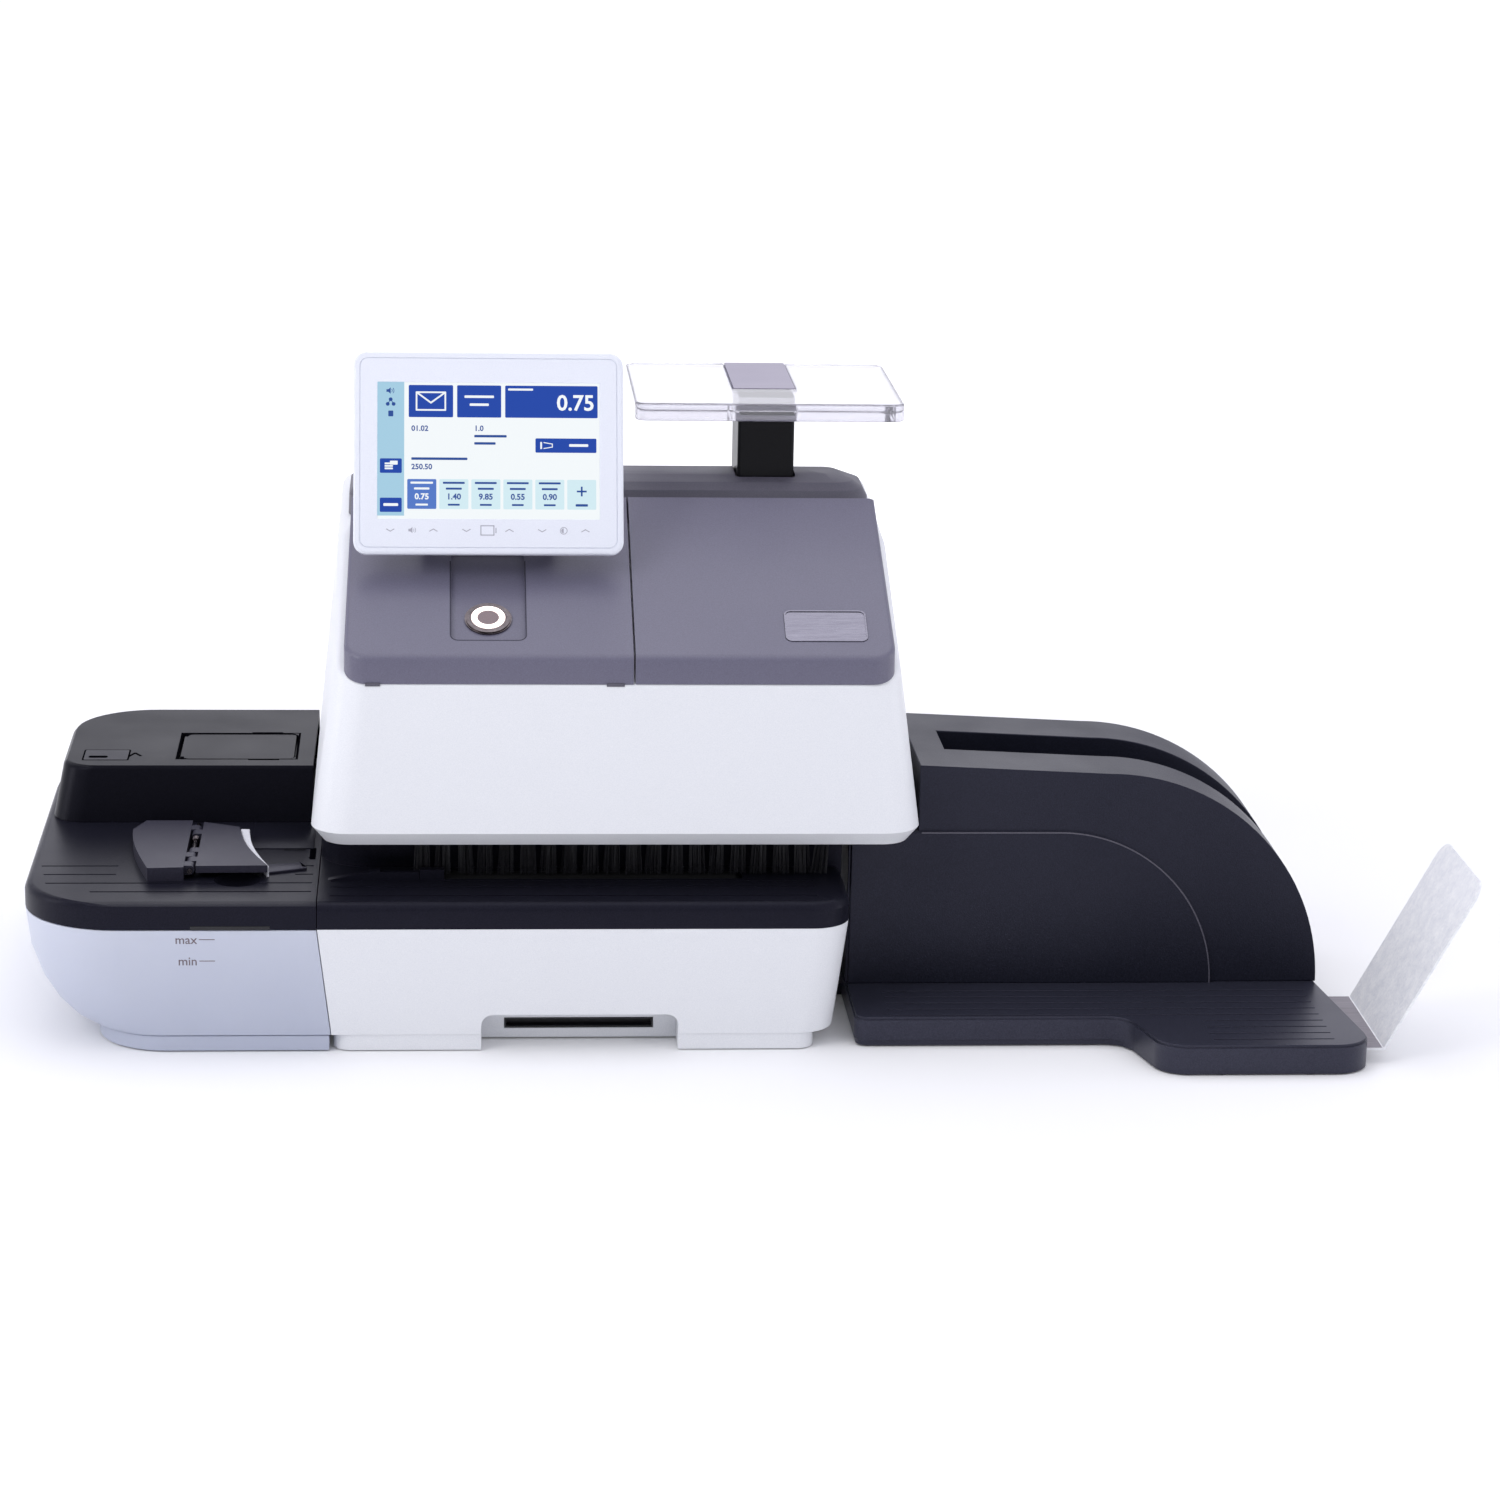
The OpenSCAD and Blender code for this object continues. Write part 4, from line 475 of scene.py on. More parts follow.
# hairs and felt
fibres = {
    "feltFibre": {"low": srgb(206, 207, 214), "high": srgb(240, 240, 245), "rough": (0.82, 0.95),
                  "scale": 1900.0, "detail": 6.0, "tangle": 0.7, "depth": 0.0002,
                  "shader": {"Sheen Weight": 0.4, "Sheen Roughness": 0.5}},
    "bristleHair": {"low": srgb(18, 18, 21), "high": srgb(44, 44, 50), "rough": (0.34, 0.5),
                    "scale": 900.0, "detail": 2.0, "tangle": 0.5, "shader": {}},
}


def fibre(name, look):
    material, tree, shader, vector = startMaterial(name, look["shader"])
    hair = noiseNode(tree, vector, look["scale"], look["detail"], look["tangle"])
    paint(tree, shader, look, spread(tree, hair, 0, 1), hair)
    if "depth" in look:
        bump(tree, shader, hair, look["depth"])
    return material


# the scale's clear plate, with faint smears
acrylic = {
    "shader": {"Base Color": (0.87, 0.86, 0.92, 1), "IOR": 1.49, "Transmission Weight": 0.84},
    "smear": 30.0,
    "detail": 3.0,
    "rough": (0.01, 0.06),
}


def clearAcrylic():
    material, tree, shader, vector = startMaterial("clearAcrylic", acrylic["shader"])
    smear = noiseNode(tree, vector, acrylic["smear"], acrylic["detail"])
    tree.links.new(spread(tree, smear, *acrylic["rough"]), shader.inputs["Roughness"])
    return material


# lit faces: the screen's inks and the start button's ring
backlight = {"glow": 0.92, "ground": 0.06, "dim": 0.96, "pixels": 4200.0, "rough": (0.16, 0.22)}
inks = {
    "screenWhite": {"colour": srgb(246, 251, 253)},
    "screenStrip": {"colour": srgb(166, 207, 228)},
    "screenNavy": {"colour": srgb(14, 66, 168)},
    "screenBlue": {"colour": srgb(82, 120, 200)},
    "screenPale": {"colour": srgb(213, 238, 245)},
    "screenText": {"colour": srgb(34, 74, 150)},
    "ringGlow": {"colour": srgb(255, 240, 232), "glow": 1.6, "ground": 0.8},
}


def dimmed(colour, share):
    return tuple(c * share for c in colour[:3]) + (1.0,)


def litSurface(name, look):
    # the pixels shimmer a little over a darker ground
    own = {**backlight, **look}
    colour = own["colour"]
    settings = {"Emission Strength": own["glow"], "Base Color": dimmed(colour, own["ground"])}
    material, tree, shader, vector = startMaterial(name, settings)
    grid = noiseNode(tree, vector, own["pixels"], 0.0)
    shimmer = mixColours(tree, grid, dimmed(colour, own["dim"]), colour)
    tree.links.new(shimmer, shader.inputs["Emission Color"])
    tree.links.new(spread(tree, grid, *own["rough"]), shader.inputs["Roughness"])
    return material


materials = {"tankPlastic": tankPlastic(), "clearAcrylic": clearAcrylic()}
makers = [(plastics, mouldedPlastic), (metals, brushedMetal), (fibres, fibre), (inks, litSurface)]
for looks, makeLook in makers:
    materials.update({name: makeLook(name, look) for name, look in looks.items()})
print("materials made:", len(materials))

# finishes of the frame's own nodes
finishes = {
    "whiteCasing": ["base_housing", "base_plinth", "head_housing", "display_back"],
    "whiteBezel": ["display_bezel"],
    "tankPlastic": ["water_tank", "sealer_chassis", "sealer_plinth"],
    "coverGrey": ["control_cover", "cartridge_lid"],
    "humpGrey": ["rear_cover", "display_neck"],
    "deckBlack": ["transport_deck", "sealer_deck", "rear_frame", "entry_guide", "letter_sensor"],
    "hoodBlack": ["sealer_hood", "filler_lid"],
    "flapBlack": ["flap_plough", "flap_guide"],
    "trayBlack": ["tray_wall", "docking_bar"],
    "floorBlack": ["tray_floor"],
    "innerBlack": ["tray_frame", "head_floor", "cartridge_holder", "front_slot_liner", "button_switch",
                   "power_inlet", "ink_cartridges"],
    "postBlack": ["scale_post"],
    "capGrey": ["plate_cap"],
    "buttonCap": ["start_button"],
    "ringGlow": ["button_light_ring"],
    "screenWhite": ["display_screen"],
    "clearAcrylic": ["weighing_plate"],
    "stopSteelPaintedSheen": ["letter_stop"],
    "machinedSteel": ["drive_roller", "idler_roller", "gearmotor", "stop_rails", "lid_hinge_brackets",
                      "lid_hinge_pins", "display_hinge_pin", "filler_hinge_pin", "power_supply",
                      "data_sockets"],
    "aluminium": ["brush_holder", "load_cell", "load_cell_bracket"],
    "chromeRing": ["button_bezel", "flap_hinge_pin"],
    "plateSheen": ["name_plate"],
    "rubber": ["rubber_feet", "transport_belt"],
    "boardGreen": ["main_board"],
    "feltFibre": ["moistener_felt"],
    "bristleHair": ["brush_bristles"],
}
finishOf = {node: finish for finish, names in finishes.items() for node in names}
for nodeName, cadObject in nodes.items():
    for materialSlot in cadObject.material_slots:
        materialSlot.material = materials[finishOf[nodeName]]
print("finishes set on", len(finishOf), "nodes")


def finishPiece(name, bm, finish, body, crease=None):
    mesh = bpy.data.meshes.new(name)
    bm.to_mesh(mesh)
    bm.free()
    mesh.materials.append(materials[finish])
    if "custom_normal" in mesh.attributes:  # the frame's own normals would spoil a reshaped copy
        mesh.attributes.remove(mesh.attributes["custom_normal"])
    if crease is not None:
        mesh.polygons.foreach_set("use_smooth", [True] * len(mesh.polygons))
        mesh.set_sharp_from_angle(angle=math.radians(crease))
    piece = bpy.data.objects.new(name, mesh)
    scene.collection.objects.link(piece)
    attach(piece, body)
    return piece


# shells that take a node's place: its faces as one smooth skin, parted at the crease angle, with soft edges
shells = {
    "headShell": ("head_housing", 48),
    "controlShell": ("control_cover", 50),
    "lidShell": ("cartridge_lid", 50),
    "humpShell": ("rear_cover", 48),
    "baseShell": ("base_housing", 40),
    "tankShell": ("water_tank", 40),
    "chassisShell": ("sealer_chassis", 40),
    "sealerDeckShell": ("sealer_deck", 44),
    "hoodShell": ("sealer_hood", 48),
    "deckShell": ("transport_deck", 44),
    "displayShell": ("display_back", 44),
    "bezelShell": ("display_bezel", 48),
    "trayFloorShell": ("tray_floor", 40),
    "trayWallShell": ("tray_wall", 40),
    "plinthShell": ("sealer_plinth", 40),
    "frameShell": ("rear_frame", 40),
    "ploughShell": ("flap_plough", 40),
    "stopShell": ("letter_stop", 40),
    "plateShell": ("weighing_plate", 40),
    "postShell": ("scale_post", 40),
}
shellEdge = {"weld": 0.03, "flat": 0.3, "width": 0.6, "segments": 2, "evenWeight": 100}
wideEdge = {"weighing_plate": 1.4, "tray_floor": 0.7}
# edges above a height in mm that are rounded further than the rest
crests = {"rear_cover": {"above": 333, "angle": 18, "radius": 6, "segments": 4}}


def roundCrest(bm, look):
    bend = math.radians(look["angle"])
    edges = [edge for edge in bm.edges if edge.is_manifold and edge.calc_face_angle() > bend
             and min(vert.co.z for vert in edge.verts) > look["above"] * mm]
    bmesh.ops.bevel(bm, geom=edges, offset=look["radius"] * mm, segments=look["segments"], profile=0.5,
                    affect="EDGES", material=-1, clamp_overlap=True)


def smoothShell(name, node, crease):
    bm = bmesh.new()
    bm.from_mesh(nodes[node].data)
    bmesh.ops.remove_doubles(bm, verts=bm.verts, dist=shellEdge["weld"] * mm)
    flat = math.radians(shellEdge["flat"])
    bmesh.ops.dissolve_limit(bm, angle_limit=flat, verts=bm.verts, edges=bm.edges)
    if node in crests:
        roundCrest(bm, crests[node])
    piece = finishPiece(name, bm, finishOf[node], bodyOf[node], crease)
    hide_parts(node)
    soft = piece.modifiers.new("softEdges", "BEVEL")
    soft.width = wideEdge.get(node, shellEdge["width"]) * mm
    soft.segments = shellEdge["segments"]
    soft.limit_method = "ANGLE"
    soft.angle_limit = math.radians(crease)
    normals = piece.modifiers.new("evenNormals", "WEIGHTED_NORMAL")
    normals.keep_sharp = True
    normals.weight = shellEdge["evenWeight"]


for shellName, (shellNode, shellCrease) in shells.items():
    smoothShell(shellName, shellNode, shellCrease)
print("shells smoothed:", len(shells))

# hold-down brush: tufts of slim tapered hairs
brush = {
    "tufts": 20,
    "tuftWidth": 0.62,  # of the tufts' pitch
    "hairs": 70,
    "sides": 4,
    "rootRadius": 0.30,
    "tipRadius": 0.12,
    "rootDepth": (0.04, 0.96),  # of the brush's depth
    "tipDepth": (0.03, 0.97),
    "drift": 0.08,
    "splay": 2.6,
    "lean": 2.4,
    "leanShare": 0.4,
    "ragged": 1.6,
    "crease": 60,
    "seed": 11,
}


def makeHair(bm, root, tip):
    run = root - tip
    turn = run.to_track_quat("Z", "X").to_matrix().to_4x4()
    bmesh.ops.create_cone(bm, cap_ends=True, segments=brush["sides"], radius1=brush["tipRadius"] * mm,
                          radius2=brush["rootRadius"] * mm, depth=run.length,
                          matrix=Matrix.Translation((root + tip) / 2) @ turn)


def makeBrush():
    low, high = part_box("brush_bristles")
    bm = bmesh.new()
    draw = random.Random(brush["seed"])
    pitch = (high.x - low.x) / brush["tufts"]
    depth = high.y - low.y
    front, back = brush["tipDepth"]
    for tuft in range(brush["tufts"]):
        middle = low.x + (tuft + 0.5) * pitch
        lean = draw.uniform(-1, 1) * brush["lean"] * mm * brush["leanShare"]
        if tuft == brush["tufts"] - 1:  # the last tuft bends back into the row
            lean = -brush["lean"] * mm
        for _ in range(brush["hairs"]):
            across = draw.uniform(-0.5, 0.5)
            deep = draw.uniform(*brush["rootDepth"])
            tipDeep = min(max(deep + draw.uniform(-brush["drift"], brush["drift"]), front), back)
            tipLift = draw.uniform(0.0, brush["ragged"]) * mm
            rootX = middle + across * pitch * brush["tuftWidth"]
            tipX = rootX + across * brush["splay"] * mm + lean
            root = Vector((rootX, low.y + deep * depth, high.z))
            makeHair(bm, root, Vector((tipX, low.y + tipDeep * depth, low.z + tipLift)))
    piece = finishPiece("brushHairs", bm, "bristleHair", "machine", brush["crease"])
    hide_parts("brush_bristles")


makeBrush()
print("brush made")

# moistening felt: a fuzzy pad under the flap guide
felt = {
    "weld": 0.01,
    "voxel": 0.6,
    "softenSteps": 3,
    "soften": 0.5,
    "fuzz": 0.16,
    "fuzzScale": 900.0,
    "sink": 0.4,  # of the fuzz
    "crease": 80,
    "fill": 0.8,
}


def makeFelt():
    source = nodes["moistener_felt"].data.copy()
    block = bpy.data.objects.new("moistenerPad", source)
    scene.collection.objects.link(block)
    merge = bmesh.new()
    merge.from_mesh(source)
    bmesh.ops.remove_doubles(merge, verts=merge.verts, dist=felt["weld"] * mm)
    merge.to_mesh(source)
    merge.free()
    remesh = block.modifiers.new("voxels", "REMESH")
    remesh.mode = "VOXEL"
    remesh.voxel_size = felt["voxel"] * mm
    soften = block.modifiers.new("soften", "SMOOTH")
    soften.iterations = felt["softenSteps"]
    soften.factor = felt["soften"]
    shaped = bpy.data.meshes.new_from_object(block.evaluated_get(bpy.context.evaluated_depsgraph_get()))
    bpy.data.objects.remove(block)
    bm = bmesh.new()
    bm.from_mesh(shaped)
    bm.normal_update()
    for vert in bm.verts:
        lift = noise.noise(vert.co * felt["fuzzScale"]) - felt["sink"]
        vert.co += vert.normal * lift * felt["fuzz"] * mm
    pad = finishPiece("moistenerFelt", bm, "feltFibre", "machine", felt["crease"])
    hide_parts("moistener_felt")


makeFelt()
print("felt made")

# flat graphics: closed sheets a few hundredths thick, drawn in mm and laid on a face
drawing = {"cornerSteps": 4, "strokeEnds": 0.6, "discSides": 24, "curveSteps": 3, "weld": 0.0005}


def plaque(bm, x0, y0, x1, y1, radius=0.0):
    size = Matrix.Diagonal((x1 - x0, y1 - y0, 1, 1))
    place = Matrix.Translation(((x0 + x1) / 2, (y0 + y1) / 2, 0)) @ size
    verts = bmesh.ops.create_grid(bm, x_segments=1, y_segments=1, size=0.5, matrix=place)["verts"]
    if radius > 0:
        bmesh.ops.bevel(bm, geom=verts, offset=radius, segments=drawing["cornerSteps"], profile=0.5,
                        affect="VERTICES", material=-1)


def stroke(bm, ax, ay, bx, by, width):
    length = math.hypot(bx - ax, by - ay) + width * drawing["strokeEnds"]
    turn = Matrix.Rotation(math.atan2(by - ay, bx - ax), 4, "Z")
    middle = Matrix.Translation(((ax + bx) / 2, (ay + by) / 2, 0))
    place = middle @ turn @ Matrix.Diagonal((length, width, 1, 1))
    bmesh.ops.create_grid(bm, x_segments=1, y_segments=1, size=0.5, matrix=place)


def frameLines(bm, x0, y0, x1, y1, width):
    for ends in ((x0, y0, x1, y0), (x0, y1, x1, y1), (x0, y0, x0, y1), (x1, y0, x1, y1)):
        stroke(bm, *ends, width)


def disc(bm, x, y, radius):
    bmesh.ops.create_circle(bm, cap_ends=True, segments=drawing["discSides"], radius=radius,
                            matrix=Matrix.Translation((x, y, 0)))


def hoop(bm, x, y, radius, width, start=0, end=360, steps=28):
    first = math.radians(start)
    sweep = math.radians(end - start)
    points = []
    for reach in (radius - width / 2, radius + width / 2):
        points.append(bm.verts.new((x + reach * math.cos(first), y + reach * math.sin(first), 0)))
    edge = bm.edges.new(points)
    bmesh.ops.spin(bm, geom=points + [edge], cent=(x, y, 0), axis=(0, 0, 1), angle=sweep, steps=steps,
                   use_merge=end - start == 360, use_duplicate=False)


def figures(bm, text, x, y, size, align="LEFT", weight=0.0):
    curve = bpy.data.curves.new("figures", "FONT")
    curve.body = text
    curve.size = size
    curve.align_x = align
    curve.offset = weight
    curve.resolution_u = drawing["curveSteps"]
    words = bpy.data.objects.new("figures", curve)
    scene.collection.objects.link(words)
    flat = bpy.data.meshes.new_from_object(words.evaluated_get(bpy.context.evaluated_depsgraph_get()))
    bpy.data.objects.remove(words)
    flat.transform(Matrix.Translation((x, y, 0)))
    bm.from_mesh(flat)
    bpy.data.meshes.remove(flat)


def raiseFaces(bm, faces, height):
    grown = bmesh.ops.extrude_face_region(bm, geom=faces, use_keep_orig=True)["geom"]
    lifted = [part for part in grown if isinstance(part, bmesh.types.BMVert)]
    bmesh.ops.translate(bm, verts=lifted, vec=(0, 0, height))
    bmesh.ops.recalc_face_normals(bm, faces=bm.faces)


def laySheet(name, bm, thickness, place, finish, body):
    bmesh.ops.remove_doubles(bm, verts=bm.verts, dist=drawing["weld"])
    bmesh.ops.recalc_face_normals(bm, faces=bm.faces)
    flipped = [face for face in bm.faces if face.normal.z < 0]
    bmesh.ops.reverse_faces(bm, faces=flipped)
    raiseFaces(bm, list(bm.faces), thickness)
    bmesh.ops.transform(bm, matrix=place @ Matrix.Scale(mm, 4), verts=bm.verts)
    finishPiece(name, bm, finish, body)


# a loudspeaker sign: box, horn and sound waves, in units of its size
speakerSign = {
    "box": (-1.9, -0.7, -0.9, 0.7),
    "horn": [(-0.9, -0.7), (0.3, -1.7), (0.3, 1.7), (-0.9, 0.7)],
    "waves": (1.3, 2.2),
    "waveFrom": -0.2,
    "waveLine": 0.32,
    "waveAngle": 38,
    "waveSteps": 8,
}


def speaker(bm, x, y, size):
    left, low, right, high = speakerSign["box"]
    plaque(bm, x + left * size, y + low * size, x + right * size, y + high * size)
    bm.faces.new([bm.verts.new((x + dx * size, y + dy * size, 0)) for dx, dy in speakerSign["horn"]])
    start = x + speakerSign["waveFrom"] * size
    line = speakerSign["waveLine"] * size
    angle = speakerSign["waveAngle"]
    for reach in speakerSign["waves"]:
        hoop(bm, start, y, reach * size, line, -angle, angle, speakerSign["waveSteps"])


# the display's face, with the screen let into it
displayFace = {
    "at": (-61, 118, 317),
    "lean": 21.5,
    "screenWidth": 150.8,
    "screenFoot": 24,
    "screenDepth": 0.8,
}


def screenPlace(lift):
    corner = (-displayFace["screenWidth"] / 2, displayFace["screenFoot"], lift - displayFace["screenDepth"])
    return facing(displayFace["at"], displayFace["lean"]) @ Matrix.Translation(Vector(corner) * mm)


# screen layout in mm from the screen's lower left corner
# a bar is x, y, width and height, and stands where a line of words would be
screen = {
    "sheet": 0.04,
    "corner": 0.8,
    "barCorner": 0.3,  # of a bar's height
    "strip": (0, 2.2, 18.2, 94.2),
    "stripButtons": [(1.8, 31.5, 16.6, 41.5), (1.8, 4.7, 16.6, 14.5)],
    "topTiles": [(21.2, 51.3), (54.0, 83.9), (86.6, 149.5)],
    "topRow": (70.0, 92.2),
    "wideButton": (107.1, 46.0, 148.6, 55.9),
    "tiles": 6,
    "tileStart": 20.3,
    "tileStep": 21.67,
    "tileWidth": 19.7,
    "tileRow": (6.9, 27.4),
    "prices": ["0.75", "1.40", "9.85", "0.55", "0.90"],
    "price": {"y": 13.6, "size": 5.6, "weight": 0.18},
    "chosenBars": [(2.2, 24.2, 15.2, 1.4), (4.6, 20.2, 10.4, 1.4), (5.6, 9.2, 8.4, 1.3)],
    "tileBars": [(2.4, 24.2, 14.8, 1.4), (4.4, 20.2, 10.8, 1.4), (5.8, 9.2, 8.0, 1.3)],
}
lightMarks = {
    "envelope": (26.5, 75.0, 46.0, 87.2),
    "envelopeLine": 1.1,
    "envelopeFold": 5.0,
    "bars": [(59.0, 83.5, 20.0, 1.7), (62.5, 78.0, 13.0, 1.7), (88.6, 88.8, 17.0, 1.4),
             (130.0, 50.2, 13.0, 1.8), (4.2, 8.8, 10.0, 1.9)],
    "amount": {"text": "0.75", "x": 147.4, "y": 75.4, "size": 15.0, "weight": 0.28},
    "printer": [(111.0, 48.9, 111.0, 53.0, 1.2), (112.8, 53.0, 118.6, 52.0, 0.6),
                (112.8, 48.9, 118.6, 49.9, 0.6), (118.6, 52.0, 118.6, 49.9, 0.6)],
    "stack": [(5.0, 34.0, 10.6, 35.2), (5.0, 35.7, 10.6, 36.9), (5.0, 37.4, 10.6, 38.6),
              (8.6, 37.2, 13.8, 39.9)],
    "stackCorner": 0.4,
}
darkMarks = {
    "figures": [("01.02", 23.0, 60.6), ("1.0", 65.6, 60.8), ("250.50", 23.0, 34.2)],
    "size": 5.2,
    "weight": 0.14,
    "bars": [(65.6, 56.3, 22.0, 1.7), (65.6, 51.3, 14.5, 1.7), (23.0, 40.6, 38.0, 1.7)],
    "plus": {"y": 19.4, "arm": 3.0, "line": 1.2, "bar": (-4.2, 9.0, 8.4, 1.7)},
    "speaker": (8.6, 88.2, 1.3),
    "dots": [(9.0, 82.2), (7.0, 79.0), (11.0, 79.0)],
    "dotRadius": 1.3,
    "dotLine": 0.5,
    "chip": (7.4, 70.4, 10.8, 74.4),
    "chipCorner": 0.5,
}


def layOnScreen(name, bm, level, finish):
    laySheet(name, bm, screen["sheet"], screenPlace(level * screen["sheet"]), finish, "display")


def tileLeft(tile):
    return screen["tileStart"] + tile * screen["tileStep"]


def textBars(bm, bars, shift=0.0):
    for x, y, width, height in bars:
        plaque(bm, shift + x, y, shift + x + width, y + height, height * screen["barCorner"])


def fillTile(bm, tile, bars):
    price = screen["price"]
    middle = tileLeft(tile) + screen["tileWidth"] / 2
    figures(bm, screen["prices"][tile], middle, price["y"], price["size"], "CENTER", price["weight"])
    textBars(bm, bars, tileLeft(tile))


def makeScreenAreas():
    corner = screen["corner"]
    strip = bmesh.new()
    plaque(strip, *screen["strip"])
    layOnScreen("screenStrip", strip, 0, "screenStrip")

    navy = bmesh.new()
    low, high = screen["topRow"]
    for left, right in screen["topTiles"]:
        plaque(navy, left, low, right, high, corner)
    plaque(navy, *screen["wideButton"], corner)
    layOnScreen("screenTiles", navy, 0, "screenNavy")

    menu = bmesh.new()
    for button in screen["stripButtons"]:
        plaque(menu, *button, corner)
    layOnScreen("screenButtons", menu, 1, "screenNavy")

    pale = bmesh.new()
    chosen = bmesh.new()
    low, high = screen["tileRow"]
    for tile in range(screen["tiles"]):
        left = tileLeft(tile)
        plaque(chosen if tile == 0 else pale, left, low, left + screen["tileWidth"], high, corner)
    layOnScreen("screenChoices", pale, 0, "screenPale")
    layOnScreen("screenChosen", chosen, 0, "screenBlue")


def makeLightMarks():
    light = bmesh.new()
    x0, y0, x1, y1 = lightMarks["envelope"]
    line = lightMarks["envelopeLine"]
    frameLines(light, x0, y0, x1, y1, line)
    for side in (x0, x1):
        stroke(light, side, y1, (x0 + x1) / 2, y0 + lightMarks["envelopeFold"], line)
    textBars(light, lightMarks["bars"])
    amount = lightMarks["amount"]
    figures(light, amount["text"], amount["x"], amount["y"], amount["size"], "RIGHT", amount["weight"])
    for mark in lightMarks["printer"]:
        stroke(light, *mark)
    for card in lightMarks["stack"]:
        plaque(light, *card, lightMarks["stackCorner"])
    fillTile(light, 0, screen["chosenBars"])
    layOnScreen("screenLightMarks", light, 2, "screenWhite")


def makeDarkMarks():
    dark = bmesh.new()
    for text, x, y in darkMarks["figures"]:
        figures(dark, text, x, y, darkMarks["size"], weight=darkMarks["weight"])
    textBars(dark, darkMarks["bars"])
    for tile in range(1, len(screen["prices"])):
        fillTile(dark, tile, screen["tileBars"])
    plus = darkMarks["plus"]
    middle = tileLeft(screen["tiles"] - 1) + screen["tileWidth"] / 2
    stroke(dark, middle - plus["arm"], plus["y"], middle + plus["arm"], plus["y"], plus["line"])
    stroke(dark, middle, plus["y"] - plus["arm"], middle, plus["y"] + plus["arm"], plus["line"])
    textBars(dark, [plus["bar"]], middle)
    speaker(dark, *darkMarks["speaker"])
    for dot in darkMarks["dots"]:
        disc(dark, *dot, darkMarks["dotRadius"])
    for dot in darkMarks["dots"][1:]:
        stroke(dark, *darkMarks["dots"][0], *dot, darkMarks["dotLine"])
    plaque(dark, *darkMarks["chip"], darkMarks["chipCorner"])
    layOnScreen("screenDarkMarks", dark, 1, "screenText")


makeScreenAreas()
makeLightMarks()
makeDarkMarks()
print("screen laid out")

# pale touch marks printed on the bezel under the screen
touchMarks = {
    "row": -7.8,
    "chevronsDown": [8.9, 60.3, 111.6],
    "chevronsUp": [38.0, 89.4, 140.9],
    "chevron": {"half": 2.6, "foot": 0.7, "peak": 0.8},
    "line": 0.6,
    "speaker": 23.5,
    "speakerSize": 1.25,
    "display": 74.7,
    "displayFrame": (-4.6, -3.2, 4.2, 3.2),
    "displayLine": 0.7,
    "displayKey": {"x": 5.6, "half": 1.6},
    "contrast": 126.2,
    "contrastRing": 2.3,
    "contrastLine": 0.5,
    "contrastHalf": {"radius": 1.7, "start": 90, "step": 18, "points": 11},
    "thickness": 0.03,
}


def makeTouchMarks():
    bm = bmesh.new()
    row, line, chevron = (touchMarks[k] for k in ("row", "line", "chevron"))
    for side, places in ((-1, touchMarks["chevronsDown"]), (1, touchMarks["chevronsUp"])):
        foot = row - side * chevron["foot"]
        peak = row + side * chevron["peak"]
        for x in places:
            stroke(bm, x - chevron["half"], foot, x, peak, line)
            stroke(bm, x, peak, x + chevron["half"], foot, line)
    speaker(bm, touchMarks["speaker"], row, touchMarks["speakerSize"])

    x = touchMarks["display"]
    x0, y0, x1, y1 = touchMarks["displayFrame"]
    frameLines(bm, x + x0, row + y0, x + x1, row + y1, touchMarks["displayLine"])
    key = touchMarks["displayKey"]
    stroke(bm, x + key["x"], row - key["half"], x + key["x"], row + key["half"], touchMarks["displayLine"])

    x = touchMarks["contrast"]
    hoop(bm, x, row, touchMarks["contrastRing"], touchMarks["contrastLine"])
    half = touchMarks["contrastHalf"]
    angles = [math.radians(half["start"] + half["step"] * k) for k in range(half["points"])]
    rim = [(x + half["radius"] * math.cos(a), row + half["radius"] * math.sin(a), 0) for a in angles]
    bm.faces.new([bm.verts.new(point) for point in rim])
    place = screenPlace(displayFace["screenDepth"])
    laySheet("touchMarks", bm, touchMarks["thickness"], place, "printGrey", "display")


makeTouchMarks()
print("touch marks made")

# water level marks on the tank's front, which slopes in towards the bottom
levels = {
    "heights": {"max": 81.5, "min": 66.1},
    "right": -242.5,
    "line": 10.0,
    "width": 0.6,
    "gap": 1.4,
    "drop": 3.0,
    "size": 8.6,
    "weight": 0.05,
    "thickness": 0.04,
    "slope": 7 / 76,
    "rim": 88,
}


def makeLevels():
    bm = bmesh.new()
    right = levels["right"]
    left = right - levels["line"]
    for word, z in levels["heights"].items():
        stroke(bm, left, z, right, z, levels["width"])
        figures(bm, word, left - levels["gap"], z - levels["drop"], levels["size"], "RIGHT", levels["weight"])
    place = facing((0, levels["slope"] * levels["rim"], 0), -math.degrees(math.atan(levels["slope"])))
    laySheet("levelMarks", bm, levels["thickness"], place, "printBrown", "water_tank")


makeLevels()
print("level marks made")

# small mouldings and shadow lines, in mm
trim = {"sheet": 0.06, "edgeSteps": 2, "crease": 40}
deckTop = boxMm("sealer_deck")[1].z
hoodTop = boxMm("sealer_hood")[1].z
toMetres = Matrix.Translation(origin) @ Matrix.Scale(mm, 4)


def corners(x0, y0, x1, y1):
    return [(x0, y0), (x1, y0), (x1, y1), (x0, y1)]


def prism(bm, points, low, rise, edge):
    face = bm.faces.new([bm.verts.new((x, y, low)) for x, y in points])
    raiseFaces(bm, [face], rise)
    bmesh.ops.bevel(bm, geom=bm.edges, offset=edge, segments=trim["edgeSteps"], profile=0.5, affect="EDGES",
                    material=-1)


def layTrim(name, bm, finish):
    bmesh.ops.transform(bm, matrix=toMetres, verts=bm.verts)
    finishPiece(name, bm, finish, "machine", trim["crease"])


